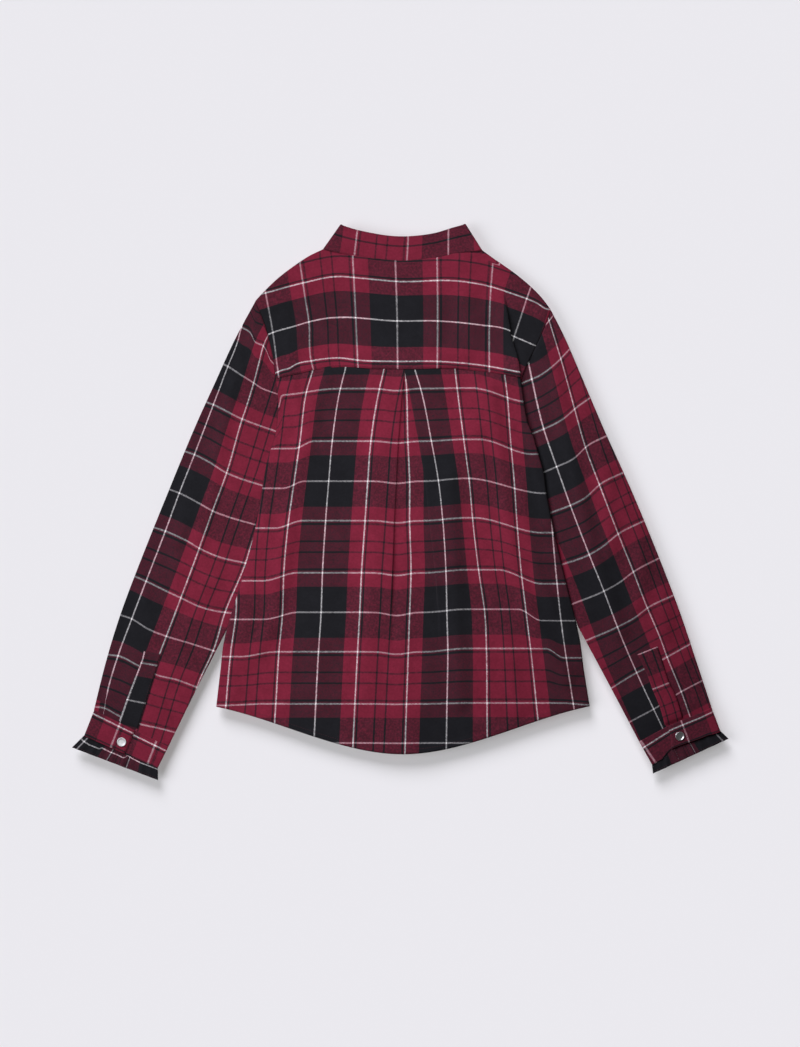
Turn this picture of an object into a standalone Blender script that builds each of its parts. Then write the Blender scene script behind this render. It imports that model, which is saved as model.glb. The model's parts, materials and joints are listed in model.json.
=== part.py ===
"""Flannel shirt laid flat, face down: band collar, back yoke, box pleat, snapped cuffs with a frill.

The shirt lies with its back up.  X runs across it, Y runs from hem to collar and Z is up; the
origin is under the middle of its outline, on the surface it lies on.  The tables are in
millimetres and the meshes in metres.
"""
import math

import bmesh
import bpy
from mathutils import Vector

for old in list(bpy.data.objects):
    bpy.data.objects.remove(old)

MM = 0.001

# ---------------------------------------------------------------- cloth and how it is stacked
PLY = 1.1              # wall of one layer of brushed flannel, as laid
COLLAR_PLY = 1.4       # collar: two layers and a stiffener
COLLAR_ROLL = 2.5      # outer radius of its two folds
COLLAR_SINK = 1.1      # how far its back part sinks to the yoke between them
COLLAR_MARGIN = 4.0    # how far past the collar the back stays raised by it
COLLAR_RUN = 20.0      # length of the slope from there
COLLAR_STEPS = 16      # columns of the collar's back part
COLLAR_OPEN = 0.07     # where its under part starts, from the front's middle
CUFF_PLY = 1.4         # cuff: two layers and a stiffener
GAP = 0.3              # between pieces that touch
LAYER = PLY + GAP
BACK_GAP = 0.45        # least height of the back over the fronts
NECK_CLEAR = 0.75 * GAP                 # of a front and the collar to their common seam
ARMHOLE_CLEAR = 1.6 * GAP               # of the body to the armhole seam
SIDE_CLEAR = 2.0 * GAP                  # of a front to the side seam, under the back's edge
CORNER_CLEAR = 4.0 * GAP                # of a front to the tip of the shoulder
SEAM_EASE = 0.1        # of a sleeve to the armhole seam
SLEEVE_EDGE = 1.25     # roll of the flattened sleeve at its two long edges
SLEEVE_THICK = 2.0 * SLEEVE_EDGE
SLEEVE_LIFT = SLEEVE_THICK + GAP        # what the body is raised where it lies on a sleeve
LIFT_MARGIN = 13.0      # how far past a sleeve the body stays at that height
LIFT_RUN = 46.0        # length of the slope from there down to the surface
SLEEVE_CROWN = 2.0     # how far the upper side of a sleeve stands up between its edges
BODY_PUFF = 0.9        # how far the back stands off the fronts, away from its edges
EDGE_ROLL = 9.0        # width of the strip in which the back rounds down to its edge
RIDGE_FADE = 22.0      # distance from an edge at which a ridge has its full height

# distances over which a sleeve's upper side rises: from where to how much further
SLEEVE_RISE = {"edge": (1.0, 34.0), "body": (5.0, 30.0), "armhole": (2.0, 26.0), "cuff": (1.0, 18.0)}

# ---------------------------------------------------------------- snaps and front band
CENTRE_X = 4.7         # centre line of the body
SNAP_RADIUS = 5.15
CAP_HEIGHT = 1.2       # front snap caps, face down
CAP_BEVEL = (0.6, 0.4)  # of their lower rim, across and up
CUFF_SNAP_HEIGHT = 2.2
DOME_SHARE = 0.86      # the dome's radius as a share of the snap's
DOME_RISE = 0.9
RIM_HEIGHT = 1.05
RIM_BEVEL = (0.3, 0.2)
BAND_HALF = 12.0       # half the width of the front band
BAND_LIFT = CAP_HEIGHT + GAP
BAND_MARGIN = 4.0      # how far past the band the fronts stay at that height
BAND_RUN = 40.0        # length of the slope beside the front band
FRONT_SNAPS = 7
FIRST_SNAP_Y = 190.0
SNAP_PITCH = 66.0
FRONT_HEM_RISE = 6.0   # the fronts end this much above the back's hem

# ---------------------------------------------------------------- pleat
FOLD_RADIUS = 0.5 * LAYER               # of the middle of the cloth round a fold
FOLD_STEPS = 4
FOLD_CHORD = 2.0 * FOLD_RADIUS * math.sin(0.5 * math.pi / FOLD_STEPS)
PLEAT_SPREAD = 48.0    # distance over which the back rises to the pleat's three layers
PLEAT_ABOVE = 60.0     # and the yoke above the pleat

# drop: distance below the yoke seam; left, right: where each fold's edge lies; run: how deep the
# cloth is folded under; turn: degrees through which the fold is closed
PLEAT = (
    # drop   left  right   run   turn
    (0.0,     3.6,   5.8, 16.6, 180.0),
    (22.0,    2.2,  10.2, 13.2, 180.0),
    (81.0,   -2.6,  21.2,  8.2, 180.0),
    (126.0,  -4.8,  28.4,  5.4, 180.0),
    (171.0,  -7.1,  32.6,  3.2, 178.0),
    (205.0,  -8.4,  37.0,  1.8, 140.0),
    (240.0,  -9.8,  41.0,  1.2,  84.0),
    (275.0, -11.2,  44.4,  1.0,  36.0),
    (318.0, -12.4,  46.6,  1.0,   0.0),
    (440.0, -13.5,  48.0,  1.0,   0.0),
)

# ---------------------------------------------------------------- outlines, points in mm
COLLAR_TOP = ((-69.5, 309.0), (-60.5, 310.4), (-31.8, 303.9), (-0.3, 299.6), (31.2, 302.4),
              (63.0, 310.2), (75.0, 312.86))
NECK_SEAM = ((-87.0, 284.3), (-62.0, 278.6), (-30.0, 272.8), (4.7, 270.0), (36.0, 273.6),
             (66.0, 279.6), (92.4, 282.9))
SHOULDER_LEFT = ((-87.0, 284.3), (-106.1, 274.5), (-134.2, 254.2), (-153.3, 236.2),
                 (-163.5, 225.0))
SHOULDER_RIGHT = ((92.4, 282.9), (103.2, 275.0), (132.4, 254.2), (154.9, 234.0),
                  (169.5, 215.6))
ARMHOLE_LEFT = ((-163.5, 225.0), (-158.0, 214.0), (-149.3, 189.0), (-143.0, 162.0),
                (-139.8, 140.0))
ARMHOLE_RIGHT = ((169.5, 215.6), (163.6, 199.0), (154.6, 179.0), (145.0, 159.4),
                 (136.6, 141.0))
UNDERARM_LEFT = ((-139.8, 140.0), (-129.0, 114.8), (-111.0, 87.0), (-88.4, 65.2))
UNDERARM_RIGHT = ((136.6, 141.0), (126.0, 116.0), (110.0, 87.0), (89.7, 65.2))
SIDE_LEFT = ((-139.8, 139.0), (-136.8, 109.1), (-140.1, 75.7), (-150.0, 42.8),
             (-161.7, -24.8), (-175.0, -78.0), (-196.4, -150.0), (-202.0, -190.0),
             (-206.7, -230.4))
SIDE_RIGHT = ((136.6, 140.0), (141.3, 106.9), (148.2, 76.8), (161.0, 26.0),
              (170.1, -18.0), (186.5, -92.0), (200.6, -149.6), (206.4, -190.0),
              (212.8, -229.8))
FRONT_NECK_LEFT = ((-87.0, 284.3), (-70.0, 250.0), (-44.0, 222.0), (-7.6, 209.0))
FRONT_NECK_RIGHT = ((92.4, 282.9), (79.0, 250.0), (54.0, 222.0), (17.0, 209.0))
FRONT_COLLAR_LEFT = ((-69.5, 309.0), (-52.0, 274.0), (-30.0, 249.0), (3.9, 237.5))
FRONT_COLLAR_RIGHT = ((75.0, 312.86), (61.0, 274.0), (40.0, 249.0), (5.5, 237.5))
SLEEVE_GAP_LEFT = (-195.2, -144.0)      # where a sleeve comes out from under the body
SLEEVE_GAP_RIGHT = (200.2, -140.6)
SEAM_CURVE = 9.0       # how far the yoke seam stands above its two ends
HEM_DROP = 53.6        # how far the shirt-tail hangs below the corners of the hem

SLEEVE_OUTER = {
    "left": ((-163.5, 225.0), (-186.4, 182.2), (-209.6, 131.6), (-232.4, 81.0),
             (-260.2, 13.5), (-287.4, -54.0), (-313.1, -121.5), (-330.6, -177.8),
             (-345.4, -237.0)),
    "right": ((169.5, 215.6), (186.2, 182.2), (207.8, 131.6), (229.4, 81.0),
              (259.8, 13.5), (287.7, -54.0), (313.7, -121.5), (332.6, -177.8),
              (351.5, -234.9)),
}
SLEEVE_INNER = {
    "left": ((-88.4, 65.2), (-105.0, 32.6), (-138.4, -32.6), (-171.6, -97.8),
             (-204.6, -162.6), (-231.4, -215.1), (-262.1, -277.9)),
    "right": ((89.7, 65.2), (104.5, 38.4), (139.7, -27.6), (174.6, -92.7),
              (209.1, -157.3), (237.7, -210.6), (270.8, -273.4)),
}
# corners of the cuffs and of the frills' free edges
CUFF = {
    #        outer top         inner top         outer end         inner end
    "left": ((-345.4, -237.0), (-262.1, -277.9), (-355.6, -263.0), (-273.0, -299.8)),
    "right": ((351.5, -234.9), (270.8, -273.4), (360.3, -258.1), (283.4, -295.9)),
}
FRILL = {
    "left": ((-369.2, -276.0), (-272.4, -312.8)),
    "right": ((369.2, -266.2), (284.2, -305.4)),
}
CUFF_OVERLAP = {"left": 0.545, "right": 0.585}     # from the outer fold, in cuff widths
CUFF_UNDERLAP = 0.20   # how far the under end runs on below the upper one
CUFF_SNAP_PLACE = {"left": (-313.3, -269.8), "right": (314.3, -263.2)}
FRILL_WAVES = 8
WAVE_STEPS = 4         # columns of the mesh to one wave
FRILL_RISE = 2.6       # height of the waves of the frill's upper side at its free edge
FRILL_UNDER = 0.8      # and of its under side
SLIT_GAP = 0.4         # between a sleeve and the band on its slit
# corners of the sleeve slits' bands: upper left, upper right, lower left, lower right
SLIT_BAND = {
    "left": ((-290.2, -168.0), (-270.4, -170.2), (-317.4, -249.0), (-295.8, -259.0)),
    "right": ((267.0, -171.8), (289.0, -163.6), (297.6, -256.0), (317.4, -247.4)),
}

# ridges that the laid cloth keeps, on the back and yoke and on the upper sides of the sleeves:
# a straight crest from one end to the other, its half width and its height
BACK_RIDGES = (
    #   x0      y0      x1      y1   width  rise
    (-98.0,  112.0, -152.0, -160.0,  13.0,  1.9),
    (96.0,    20.0,  168.0, -165.0,  12.0,  2.1),
    (-9.0,   -60.0,  -30.0, -215.0,  16.0,  1.1),
    (44.0,   -70.0,   62.0, -225.0,  16.0,  1.2),
    (-60.0,  150.0,  -70.0,   70.0,  14.0,  0.8),
    (92.0,   140.0,   96.0,   60.0,  13.0,  0.9),
    (-122.0, 128.0, -112.0,   92.0,   8.0,  1.3),
    (-176.0, -120.0, -188.0, -215.0, 10.0,  0.9),
    (120.0,  222.0,  132.0,  158.0,   8.0,  1.6),
    (-132.0, 222.0, -122.0,  168.0,  12.0,  1.0),
    (-60.0,  262.0, -100.0,  236.0,  14.0,  0.9),
    (66.0,   262.0,  104.0,  238.0,  14.0,  0.8),
)
SLEEVE_RIDGES = (
    (-196.0, 140.0, -176.0,   40.0,  11.0,  1.0),
    (-222.0,  70.0, -214.0,  -50.0,  12.0,  1.2),
    (-250.0, -10.0, -232.0, -100.0,  11.0,  1.0),
    (-290.0, -80.0, -268.0, -150.0,  12.0,  1.1),
    (-318.0, -176.0, -330.0, -222.0,  8.0,  0.8),
    (192.0,  150.0,  196.0,   40.0,  11.0,  1.1),
    (232.0,   60.0,  222.0,  -60.0,  12.0,  1.1),
    (262.0,  -20.0,  248.0, -110.0,  11.0,  1.0),
    (304.0, -90.0,   286.0, -150.0,  12.0,  1.0),
    (322.0, -176.0,  336.0, -222.0,   8.0,  0.8),
)

# ---------------------------------------------------------------- fineness of the meshes
CURVE_STEPS = 5        # between two points of an outline
SEAM_STEPS = 40        # of the yoke seam and the hem
BACK_ROWS = 20
NECK_COLUMNS = 10      # of each front, beside its neck edge, and of the collar's under part
SHOULDER_COLUMNS = 4   # and beside its shoulder
FRONT_ROWS = 17
FRONT_CROWDING = 1.5   # of the fronts' rows toward the top
YOKE_COLUMNS = 24
YOKE_ROWS = 10
SLEEVE_ROWS = 16
SLEEVE_UPPER = 12
SLEEVE_LOWER = 6
HALF_TURN = [math.radians(angle) for angle in (60.0, 30.0, 0.0, -30.0, -60.0)]   # round a wide fold
TIGHT_TURN = [math.radians(angle) for angle in (45.0, 0.0, -45.0)]               # round a narrow one
# fractions of the way from the back's side edge to the fold, close together at the rounded edge
BACK_FIELD = (0.0, 0.012, 0.035, 0.08, 0.15, 0.23, 0.31, 0.39, 0.47, 0.55, 0.63, 0.71, 0.79,
              0.87, 0.94)
UNDERLAY = (0.25, 0.5, 0.75)            # columns of the layer at the bottom of the pleat

FLANNEL = (0.16, 0.020, 0.036, 1.0)
FLANNEL_DARK = (0.018, 0.015, 0.018, 1.0)
STEEL = (0.55, 0.55, 0.56, 1.0)


# ---------------------------------------------------------------- curves in the plan
def blend(a, b, f):
    return a + (b - a) * f


def ease(f):
    f = min(max(f, 0.0), 1.0)
    return f * f * (3.0 - 2.0 * f)


def spline(points):
    """A smooth line through the points, as a list of plan vectors."""
    knots = [Vector(p) for p in points]
    ends = [knots[0] * 2 - knots[1]] + knots + [knots[-1] * 2 - knots[-2]]
    line = []
    for a, b, c, d in zip(ends, ends[1:], ends[2:], ends[3:]):
        for step in range(CURVE_STEPS):
            f = step / CURVE_STEPS
            line.append(0.5 * ((2 * b) + (c - a) * f + (2 * a - 5 * b + 4 * c - d) * f ** 2
                               + (3 * b - a - 3 * c + d) * f ** 3))
    line.append(knots[-1])
    return line


def join(first, second):
    return first + second[1:]


def length(line):
    return sum((b - a).length for a, b in zip(line, line[1:]))


def along(line, f):
    """The point at the fraction f of the line's length."""
    lengths = [(b - a).length for a, b in zip(line, line[1:])]
    left = min(max(f, 0.0), 1.0) * sum(lengths)
    for start, end, length in zip(line, line[1:], lengths):
        if left <= length:
            return start.lerp(end, left / length)
        left -= length
    return line[-1].copy()


def moved_in(line, distance):
    """The line moved sideways, to the left of its own direction."""
    out = []
    for k, point in enumerate(line):
        way = (line[min(k + 1, len(line) - 1)] - line[max(k - 1, 0)]).normalized()
        out.append(point + Vector((-way.y, way.x)) * distance)
    return out


def to_segment(p, a, b):
    way = b - a
    f = min(max((p - a).dot(way) / way.length_squared, 0.0), 1.0)
    return (p - a - way * f).length


def to_line(p, line):
    return min(to_segment(p, a, b) for a, b in zip(line, line[1:]))


def to_region(p, ring):
    """Distance of a point from a closed region of the plan, 0 inside it."""
    inside = False
    for a, b in zip(ring, ring[1:] + ring[:1]):
        if (a.y > p.y) != (b.y > p.y):
            if p.x < a.x + (b.x - a.x) * (p.y - a.y) / (b.y - a.y):
                inside = not inside
    return 0.0 if inside else to_line(p, ring + ring[:1])


def row_value(table, key, column):
    """A column of a table at a key, straight between its rows."""
    for low, high in zip(table, table[1:]):
        if key <= high[0]:
            f = max(key - low[0], 0.0) / (high[0] - low[0])
            return blend(low[column], high[column], f)
    return table[-1][column]


def coons(top, bottom, left, right):
    """A sheet between four edge lines: s runs from left to right, t from top to bottom."""
    def place(s, t):
        corners = ((1 - s) * (1 - t) * top[0] + s * (1 - t) * top[-1]
                   + (1 - s) * t * bottom[0] + s * t * bottom[-1])
        return ((1 - t) * along(top, s) + t * along(bottom, s)
                + (1 - s) * along(left, t) + s * along(right, t) - corners)
    return place


# ---------------------------------------------------------------- the plan of the pieces
side_left = spline(SIDE_LEFT)
side_right = spline(SIDE_RIGHT)
armhole_left = spline(ARMHOLE_LEFT)
armhole_right = spline(ARMHOLE_RIGHT)
back_edges = (join(spline(SHOULDER_LEFT), join(armhole_left, side_left)),
              join(spline(SHOULDER_RIGHT), join(armhole_right, side_right)))
front_collar_ring = (spline(FRONT_NECK_LEFT) + spline(FRONT_NECK_RIGHT)[::-1]
                     + spline(FRONT_COLLAR_RIGHT) + spline(FRONT_COLLAR_LEFT)[::-1])
sleeve_edge = {side: (spline(SLEEVE_OUTER[side]), spline(SLEEVE_INNER[side]))
               for side in ("left", "right")}


def edge_shape(q, t):
    """0 in the middle of the back and 1 at its sides: square at the yoke, a tail at the hem."""
    side = abs(2.0 * q - 1.0)
    return (1 - t) * side ** 4 + t * (0.6 * ease(side) + 0.4 * side ** 2)


def back_point(q, t, raised=0.0):
    """Point of the back at the fraction q of its width and t of its length."""
    left = along(side_left, t)
    right = along(side_right, t)
    drop = blend(SEAM_CURVE, -HEM_DROP + raised, t) * (1.0 - edge_shape(q, t))
    return Vector((blend(left.x, right.x, q), blend(left.y, right.y, q) + drop))


def part_of(line, last):
    """The stretch of a line down to its point nearest to the given one."""
    nearest = min(range(len(line)), key=lambda k: (line[k] - Vector(last)).length)
    return line[:nearest + 1]


def hidden_part(underarm, gap, side):
    """The region in which a sleeve lies under the body."""
    return spline(underarm) + [Vector(gap)] + part_of(side, gap)[::-1]


yoke_seam = [back_point(k / SEAM_STEPS, 0.0) for k in range(SEAM_STEPS + 1)]
seam_middle = yoke_seam[SEAM_STEPS // 2]
hem_line = [back_point(k / SEAM_STEPS, 1.0, FRONT_HEM_RISE) for k in range(SEAM_STEPS + 1)]
hidden = {"left": hidden_part(UNDERARM_LEFT, SLEEVE_GAP_LEFT, side_left),
          "right": hidden_part(UNDERARM_RIGHT, SLEEVE_GAP_RIGHT, side_right)}


# ---------------------------------------------------------------- heights of the layers
def ridge_rise(p, ridges):
    total = 0.0
    for x0, y0, x1, y1, width, rise in ridges:
        away = to_segment(p, Vector((x0, y0)), Vector((x1, y1)))
        total += rise * math.exp(-(away / width) ** 2)
    return total


def front_floor(p):
    """Under side of the fronts: on the surface, over the sleeves and over the snap caps."""
    on_sleeve = min(to_region(p, ring) for ring in hidden.values())
    sleeve = SLEEVE_LIFT * (1.0 - ease((on_sleeve - LIFT_MARGIN) / LIFT_RUN))
    beside_band = abs(p.x - CENTRE_X) - BAND_HALF - BAND_MARGIN
    return max(sleeve, BAND_LIFT * (1.0 - ease(beside_band / BAND_RUN)))


def back_floor(p):
    """Under side of the lowest layer of the back and the yoke."""
    collar = 1.0 - ease((to_region(p, front_collar_ring) - COLLAR_MARGIN) / COLLAR_RUN)
    edge = min(to_line(p, line) for line in back_edges)
    off_edge = 1.0 - (1.0 - min(edge / EDGE_ROLL, 1.0)) ** 2
    lift = BODY_PUFF * off_edge + ridge_rise(p, BACK_RIDGES) * ease(edge / RIDGE_FADE)
    return front_floor(p) + PLY + BACK_GAP + (COLLAR_PLY - PLY) * collar + lift


def pleat_rise(p):
    """What the outer layer stands above the lowest one, next to the pleat."""
    drop = seam_middle.y - p.y
    turn = math.radians(row_value(PLEAT, drop, 4))
    run = row_value(PLEAT, drop, 3)
    height = sum(z for _, z in fold_steps(turn, run))
    left = row_value(PLEAT, drop, 1)
    right = row_value(PLEAT, drop, 2)
    away = max(left - 2 * run - p.x, p.x - right - 2 * run, 0.0)
    above_seam = ease(-drop / PLEAT_ABOVE)
    return height * (1.0 - ease(away / PLEAT_SPREAD)) * (1.0 - above_seam)


def sleeve_top(p, side):
    """Upper side of a sleeve."""
    away = {
        "edge": min(to_line(p, edge) for edge in sleeve_edge[side]),
        "body": to_region(p, hidden[side]),
        "armhole": to_line(p, armhole_left if side == "left" else armhole_right),
        "cuff": to_segment(p, Vector(CUFF[side][0]), Vector(CUFF[side][1])),
    }
    rise = {end: ease((away[end] - start) / run) for end, (start, run) in SLEEVE_RISE.items()}
    ridges = ridge_rise(p, SLEEVE_RIDGES) * ease(away["edge"] / RIDGE_FADE)
    free = rise["body"] * rise["armhole"] * rise["cuff"]
    return SLEEVE_THICK + free * (SLEEVE_CROWN * rise["edge"] + ridges)


# ---------------------------------------------------------------- making the meshes
def new_collection(name):
    made = bpy.data.collections.new(name)
    bpy.context.scene.collection.children.link(made)
    return made


def material(name, colour, roughness, metallic=0.0):
    made = bpy.data.materials.new(name)
    made.use_nodes = True
    shader = made.node_tree.nodes["Principled BSDF"]
    shader.inputs["Base Color"].default_value = colour
    shader.inputs["Roughness"].default_value = roughness
    shader.inputs["Metallic"].default_value = metallic
    return made


def add_object(name, bm, colour, roughness=0.9, metallic=0.0):
    mesh = bpy.data.meshes.new(name)
    bm.to_mesh(mesh)
    bm.free()
    made = bpy.data.objects.new(name, mesh)
    shirt.objects.link(made)
    mesh.materials.append(material(name + "_finish", colour, roughness, metallic))
    mesh.shade_smooth()
    return made


def cloth(name, columns, rows, place, ply, offset, closed=False, colour=FLANNEL):
    """A sheet with a wall: place gives each point from its column and its fraction of the length.

    The rows run up the sheet, so that a sheet seen from above has its face up.  offset says on
    which side of the points the wall lies: 1 above the face, -1 below it, 0 half on each side.
    """
    bm = bmesh.new()
    bmesh.ops.create_grid(bm, x_segments=columns, y_segments=rows, size=0.5)
    for vertex in bm.verts:
        column = round((vertex.co.x + 0.5) * columns)
        t = 0.5 - vertex.co.y
        vertex.co = Vector(place(column, min(max(t, 0.0), 1.0))) * MM
    if closed:
        bmesh.ops.remove_doubles(bm, verts=bm.verts, dist=0.00001)
    made = add_object(name, bm, colour)
    wall = made.modifiers.new("wall", "SOLIDIFY")
    wall.thickness = ply * MM
    wall.offset = offset
    wall.use_even_offset = True
    wall.use_rim = True
    return made


def fold_steps(turn, run):
    """Steps of the cloth through one fold of the pleat, as (sideways, down)."""
    steps = []
    for k in range(FOLD_STEPS):
        way = turn * (k + 0.5) / FOLD_STEPS
        steps.append((FOLD_CHORD * math.cos(way), FOLD_CHORD * math.sin(way)))
    steps.append((run * math.cos(turn), run * math.sin(turn)))
    for k in range(FOLD_STEPS):
        way = turn * (1.0 - (k + 0.5) / FOLD_STEPS)
        steps.append((FOLD_CHORD * math.cos(way), FOLD_CHORD * math.sin(way)))
    return steps


def back_section(t):
    """The back's row at t: plan x and height over the lowest layer for each column."""
    left = along(side_left, t).x
    right = along(side_right, t).x
    drop = t * (seam_middle.y - back_point(0.5, 1.0).y)
    run = row_value(PLEAT, drop, 3)
    steps = fold_steps(math.radians(row_value(PLEAT, drop, 4)), run)
    height = sum(z for _, z in steps)
    start_left = row_value(PLEAT, drop, 1) - FOLD_RADIUS
    start_right = row_value(PLEAT, drop, 2) + FOLD_RADIUS
    path_left = [(start_left, height)]
    path_right = [(start_right, height)]
    for across, down in steps:
        x, z = path_left[-1]
        path_left.append((x + across, z - down))
        x, z = path_right[-1]
        path_right.append((x - across, z - down))
    inner_left = path_left[-1][0]
    inner_right = path_right[-1][0]
    section = [(blend(left, start_left, f), None) for f in BACK_FIELD]
    section += path_left
    section += [(blend(inner_left, inner_right, f), 0.0) for f in UNDERLAY]
    section += path_right[::-1]
    section += [(blend(right, start_right, f), None) for f in BACK_FIELD[::-1]]
    return left, right, section


def make_back():
    count = 2 * len(BACK_FIELD) + 2 * (2 * FOLD_STEPS + 2) + len(UNDERLAY) - 1
    rows = {}

    def place(column, t):
        if t not in rows:
            rows[t] = back_section(t)
        left, right, section = rows[t]
        x, height = section[column]
        p = back_point((x - left) / (right - left), t)
        if t == 0.0:
            p.y -= 0.5 * GAP
        rise = pleat_rise(p) if height is None else height
        return p.x, p.y, back_floor(p) + rise + 0.5 * PLY

    cloth("back_panel", count, BACK_ROWS, place, PLY, 0.0)


def make_yoke():
    left = join(spline(SHOULDER_LEFT), moved_in(armhole_left, ARMHOLE_CLEAR))
    right = join(spline(SHOULDER_RIGHT), moved_in(armhole_right, -ARMHOLE_CLEAR))
    top = [p - Vector((0.0, 0.5 * GAP)) for p in spline(NECK_SEAM)]
    bottom = [p + Vector((0.0, 0.5 * GAP)) for p in yoke_seam]
    top[0], top[-1] = left[0], right[0]
    left[-1], right[-1] = bottom[0], bottom[-1]
    sheet = coons(top, bottom, left, right)

    def place(column, t):
        p = sheet(column / YOKE_COLUMNS, t)
        return p.x, p.y, back_floor(p) + pleat_rise(p)

    cloth("back_yoke", YOKE_COLUMNS, YOKE_ROWS, place, PLY, 1.0)


def make_front(name, neck, shoulder, armhole, side, direction):
    """A front, from the band to the armhole and side; direction is 1 to the right."""
    band_edge = CENTRE_X + direction * (BAND_HALF + GAP)
    neck_line = moved_in(spline(neck), NECK_CLEAR * direction)[::-1]
    neck_line[0] = Vector((band_edge, neck[-1][1] - 0.5 * GAP))
    shoulder_line = spline(shoulder)
    top = neck_line + [p - Vector((0.0, GAP)) for p in shoulder_line]
    corner_point = moved_in(armhole, -CORNER_CLEAR * direction)[0]
    outer = ([corner_point] + moved_in(armhole, -ARMHOLE_CLEAR * direction)[1:]
             + moved_in(side, -SIDE_CLEAR * direction)[1:])
    top[-1] = corner_point
    corner = length(neck_line) / length(top)
    middle = min(hem_line, key=lambda p: abs(p.x - band_edge))
    half = [p for p in hem_line if (p.x - band_edge) * direction > BAND_MARGIN]
    half = half if direction > 0 else half[::-1]
    hem = [Vector((band_edge, middle.y))] + half[:-1] + [outer[-1]]
    inner = [top[0], hem[0]]
    if direction > 0:
        sheet = coons(top, hem, inner, outer)
    else:
        sheet = coons(top[::-1], hem[::-1], outer, inner)

    def place(column, t):
        count = column if direction > 0 else NECK_COLUMNS + SHOULDER_COLUMNS - column
        s = corner * min(count, NECK_COLUMNS) / NECK_COLUMNS
        s += (1.0 - corner) * max(count - NECK_COLUMNS, 0) / SHOULDER_COLUMNS
        p = sheet(s if direction > 0 else 1.0 - s, t ** FRONT_CROWDING)
        return p.x, p.y, front_floor(p)

    cloth(name, NECK_COLUMNS + SHOULDER_COLUMNS, FRONT_ROWS, place, PLY, 1.0)


def make_front_band():
    top = FRONT_NECK_LEFT[-1][1] - GAP
    bottom = min(hem_line, key=lambda p: abs(p.x - CENTRE_X)).y

    def place(column, t):
        return CENTRE_X + BAND_HALF * (column - 1), blend(top, bottom, t), BAND_LIFT

    cloth("front_placket", 2, 12, place, PLY, 1.0)


def make_collar():
    """The band collar: under part from the front's middle out to each fold, back part on top."""
    seam = [p + Vector((0.0, 0.5 * GAP)) for p in spline(NECK_SEAM)]
    back = (spline(COLLAR_TOP), seam)
    under = {-1: (spline(FRONT_COLLAR_LEFT), moved_in(spline(FRONT_NECK_LEFT), NECK_CLEAR)),
             1: (spline(FRONT_COLLAR_RIGHT), moved_in(spline(FRONT_NECK_RIGHT), -NECK_CLEAR))}
    under_parts = [COLLAR_OPEN] + [k / NECK_COLUMNS for k in range(1, NECK_COLUMNS + 1)]
    fold = 0.02        # share of the back part that each fold takes up
    ring = [(-1, "under", f) for f in under_parts[::-1]]
    ring += [(-1, "fold", a) for a in HALF_TURN[::-1]]
    ring += [(0, "back", blend(fold, 1.0 - fold, k / COLLAR_STEPS)) for k in range(COLLAR_STEPS + 1)]
    ring += [(1, "fold", a) for a in HALF_TURN]
    ring += [(1, "under", f) for f in under_parts]

    def place(column, t):
        side, part, f = ring[column]
        if part == "back":
            p = along(back[0], f).lerp(along(back[1], f), t)
            sunk = COLLAR_SINK * ease(min(f, 1.0 - f) / 0.2) * t
            return p.x, p.y, 2.0 * COLLAR_ROLL - sunk
        if part == "fold":
            end = 0 if side < 0 else -1
            p = back[0][end].lerp(back[1][end], 0.965 * t)
            inset = side * COLLAR_ROLL * (1.0 - math.cos(f))
            return p.x - inset, p.y, COLLAR_ROLL * (1.0 + math.sin(f))
        edge, neck = under[side]
        p = along(edge, f).lerp(along(neck, f), t)
        if f == 1.0:
            p.x = CENTRE_X + side * GAP
        return p.x, p.y, front_floor(p)

    cloth("collar_band", len(ring) - 1, 3, place, COLLAR_PLY, -1.0)


def make_sleeve(side):
    """A sleeve pressed flat: a tube whose two long edges roll over."""
    left_side = side == "left"
    armhole, underarm = (armhole_left, UNDERARM_LEFT) if left_side \
        else (armhole_right, UNDERARM_RIGHT)
    top = moved_in(join(armhole, spline(underarm)), -SEAM_EASE if left_side else SEAM_EASE)
    outer_top, inner_top, outer_end, _ = (Vector(p) for p in CUFF[side])
    off_cuff = (outer_top - outer_end).normalized() * GAP
    end = [outer_top + off_cuff, inner_top + off_cuff]
    outer = [top[0]] + sleeve_edge[side][0][1:-1] + [end[0]]
    inner = [top[-1]] + sleeve_edge[side][1][1:-1] + [end[1]]
    sheet = coons(top, end, outer, inner) if left_side \
        else coons(top[::-1], end[::-1], inner, outer)
    ring = [("upper", k / SLEEVE_UPPER) for k in range(SLEEVE_UPPER + 1)]
    ring += [("right", a) for a in TIGHT_TURN]
    ring += [("lower", 1.0 - k / SLEEVE_LOWER) for k in range(SLEEVE_LOWER + 1)]
    ring += [("left", a) for a in TIGHT_TURN[::-1]]
    ring.append(ring[0])

    def place(column, t):
        part, f = ring[column]
        a, b = sheet(0.0, t), sheet(1.0, t)
        width = (b - a).length
        roll = SLEEVE_EDGE / width
        if part in ("upper", "lower"):
            p = sheet(blend(roll, 1.0 - roll, f), t)
            return p.x, p.y, sleeve_top(p, side) if part == "upper" else 0.0
        at = 1.0 - roll if part == "right" else roll
        out = (b - a) / width * (1.0 if part == "right" else -1.0)
        p = sheet(at, t) + out * SLEEVE_EDGE * math.cos(f)
        return p.x, p.y, SLEEVE_EDGE * (1.0 + math.sin(f))

    cloth("sleeve_" + side, len(ring) - 1, SLEEVE_ROWS, place, PLY, -1.0, closed=True)


def make_slit_band(side):
    corners = [Vector(p) for p in SLIT_BAND[side]]
    upper, lower = corners[:2], corners[2:]
    sheet = coons(upper, lower, [upper[0], lower[0]], [upper[1], lower[1]])

    def place(column, t):
        p = sheet(column / 3.0, t)
        return p.x, p.y, sleeve_top(p, side) + SLIT_GAP

    cloth("sleeve_placket_" + side, 3, 8, place, PLY, 1.0)


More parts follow.
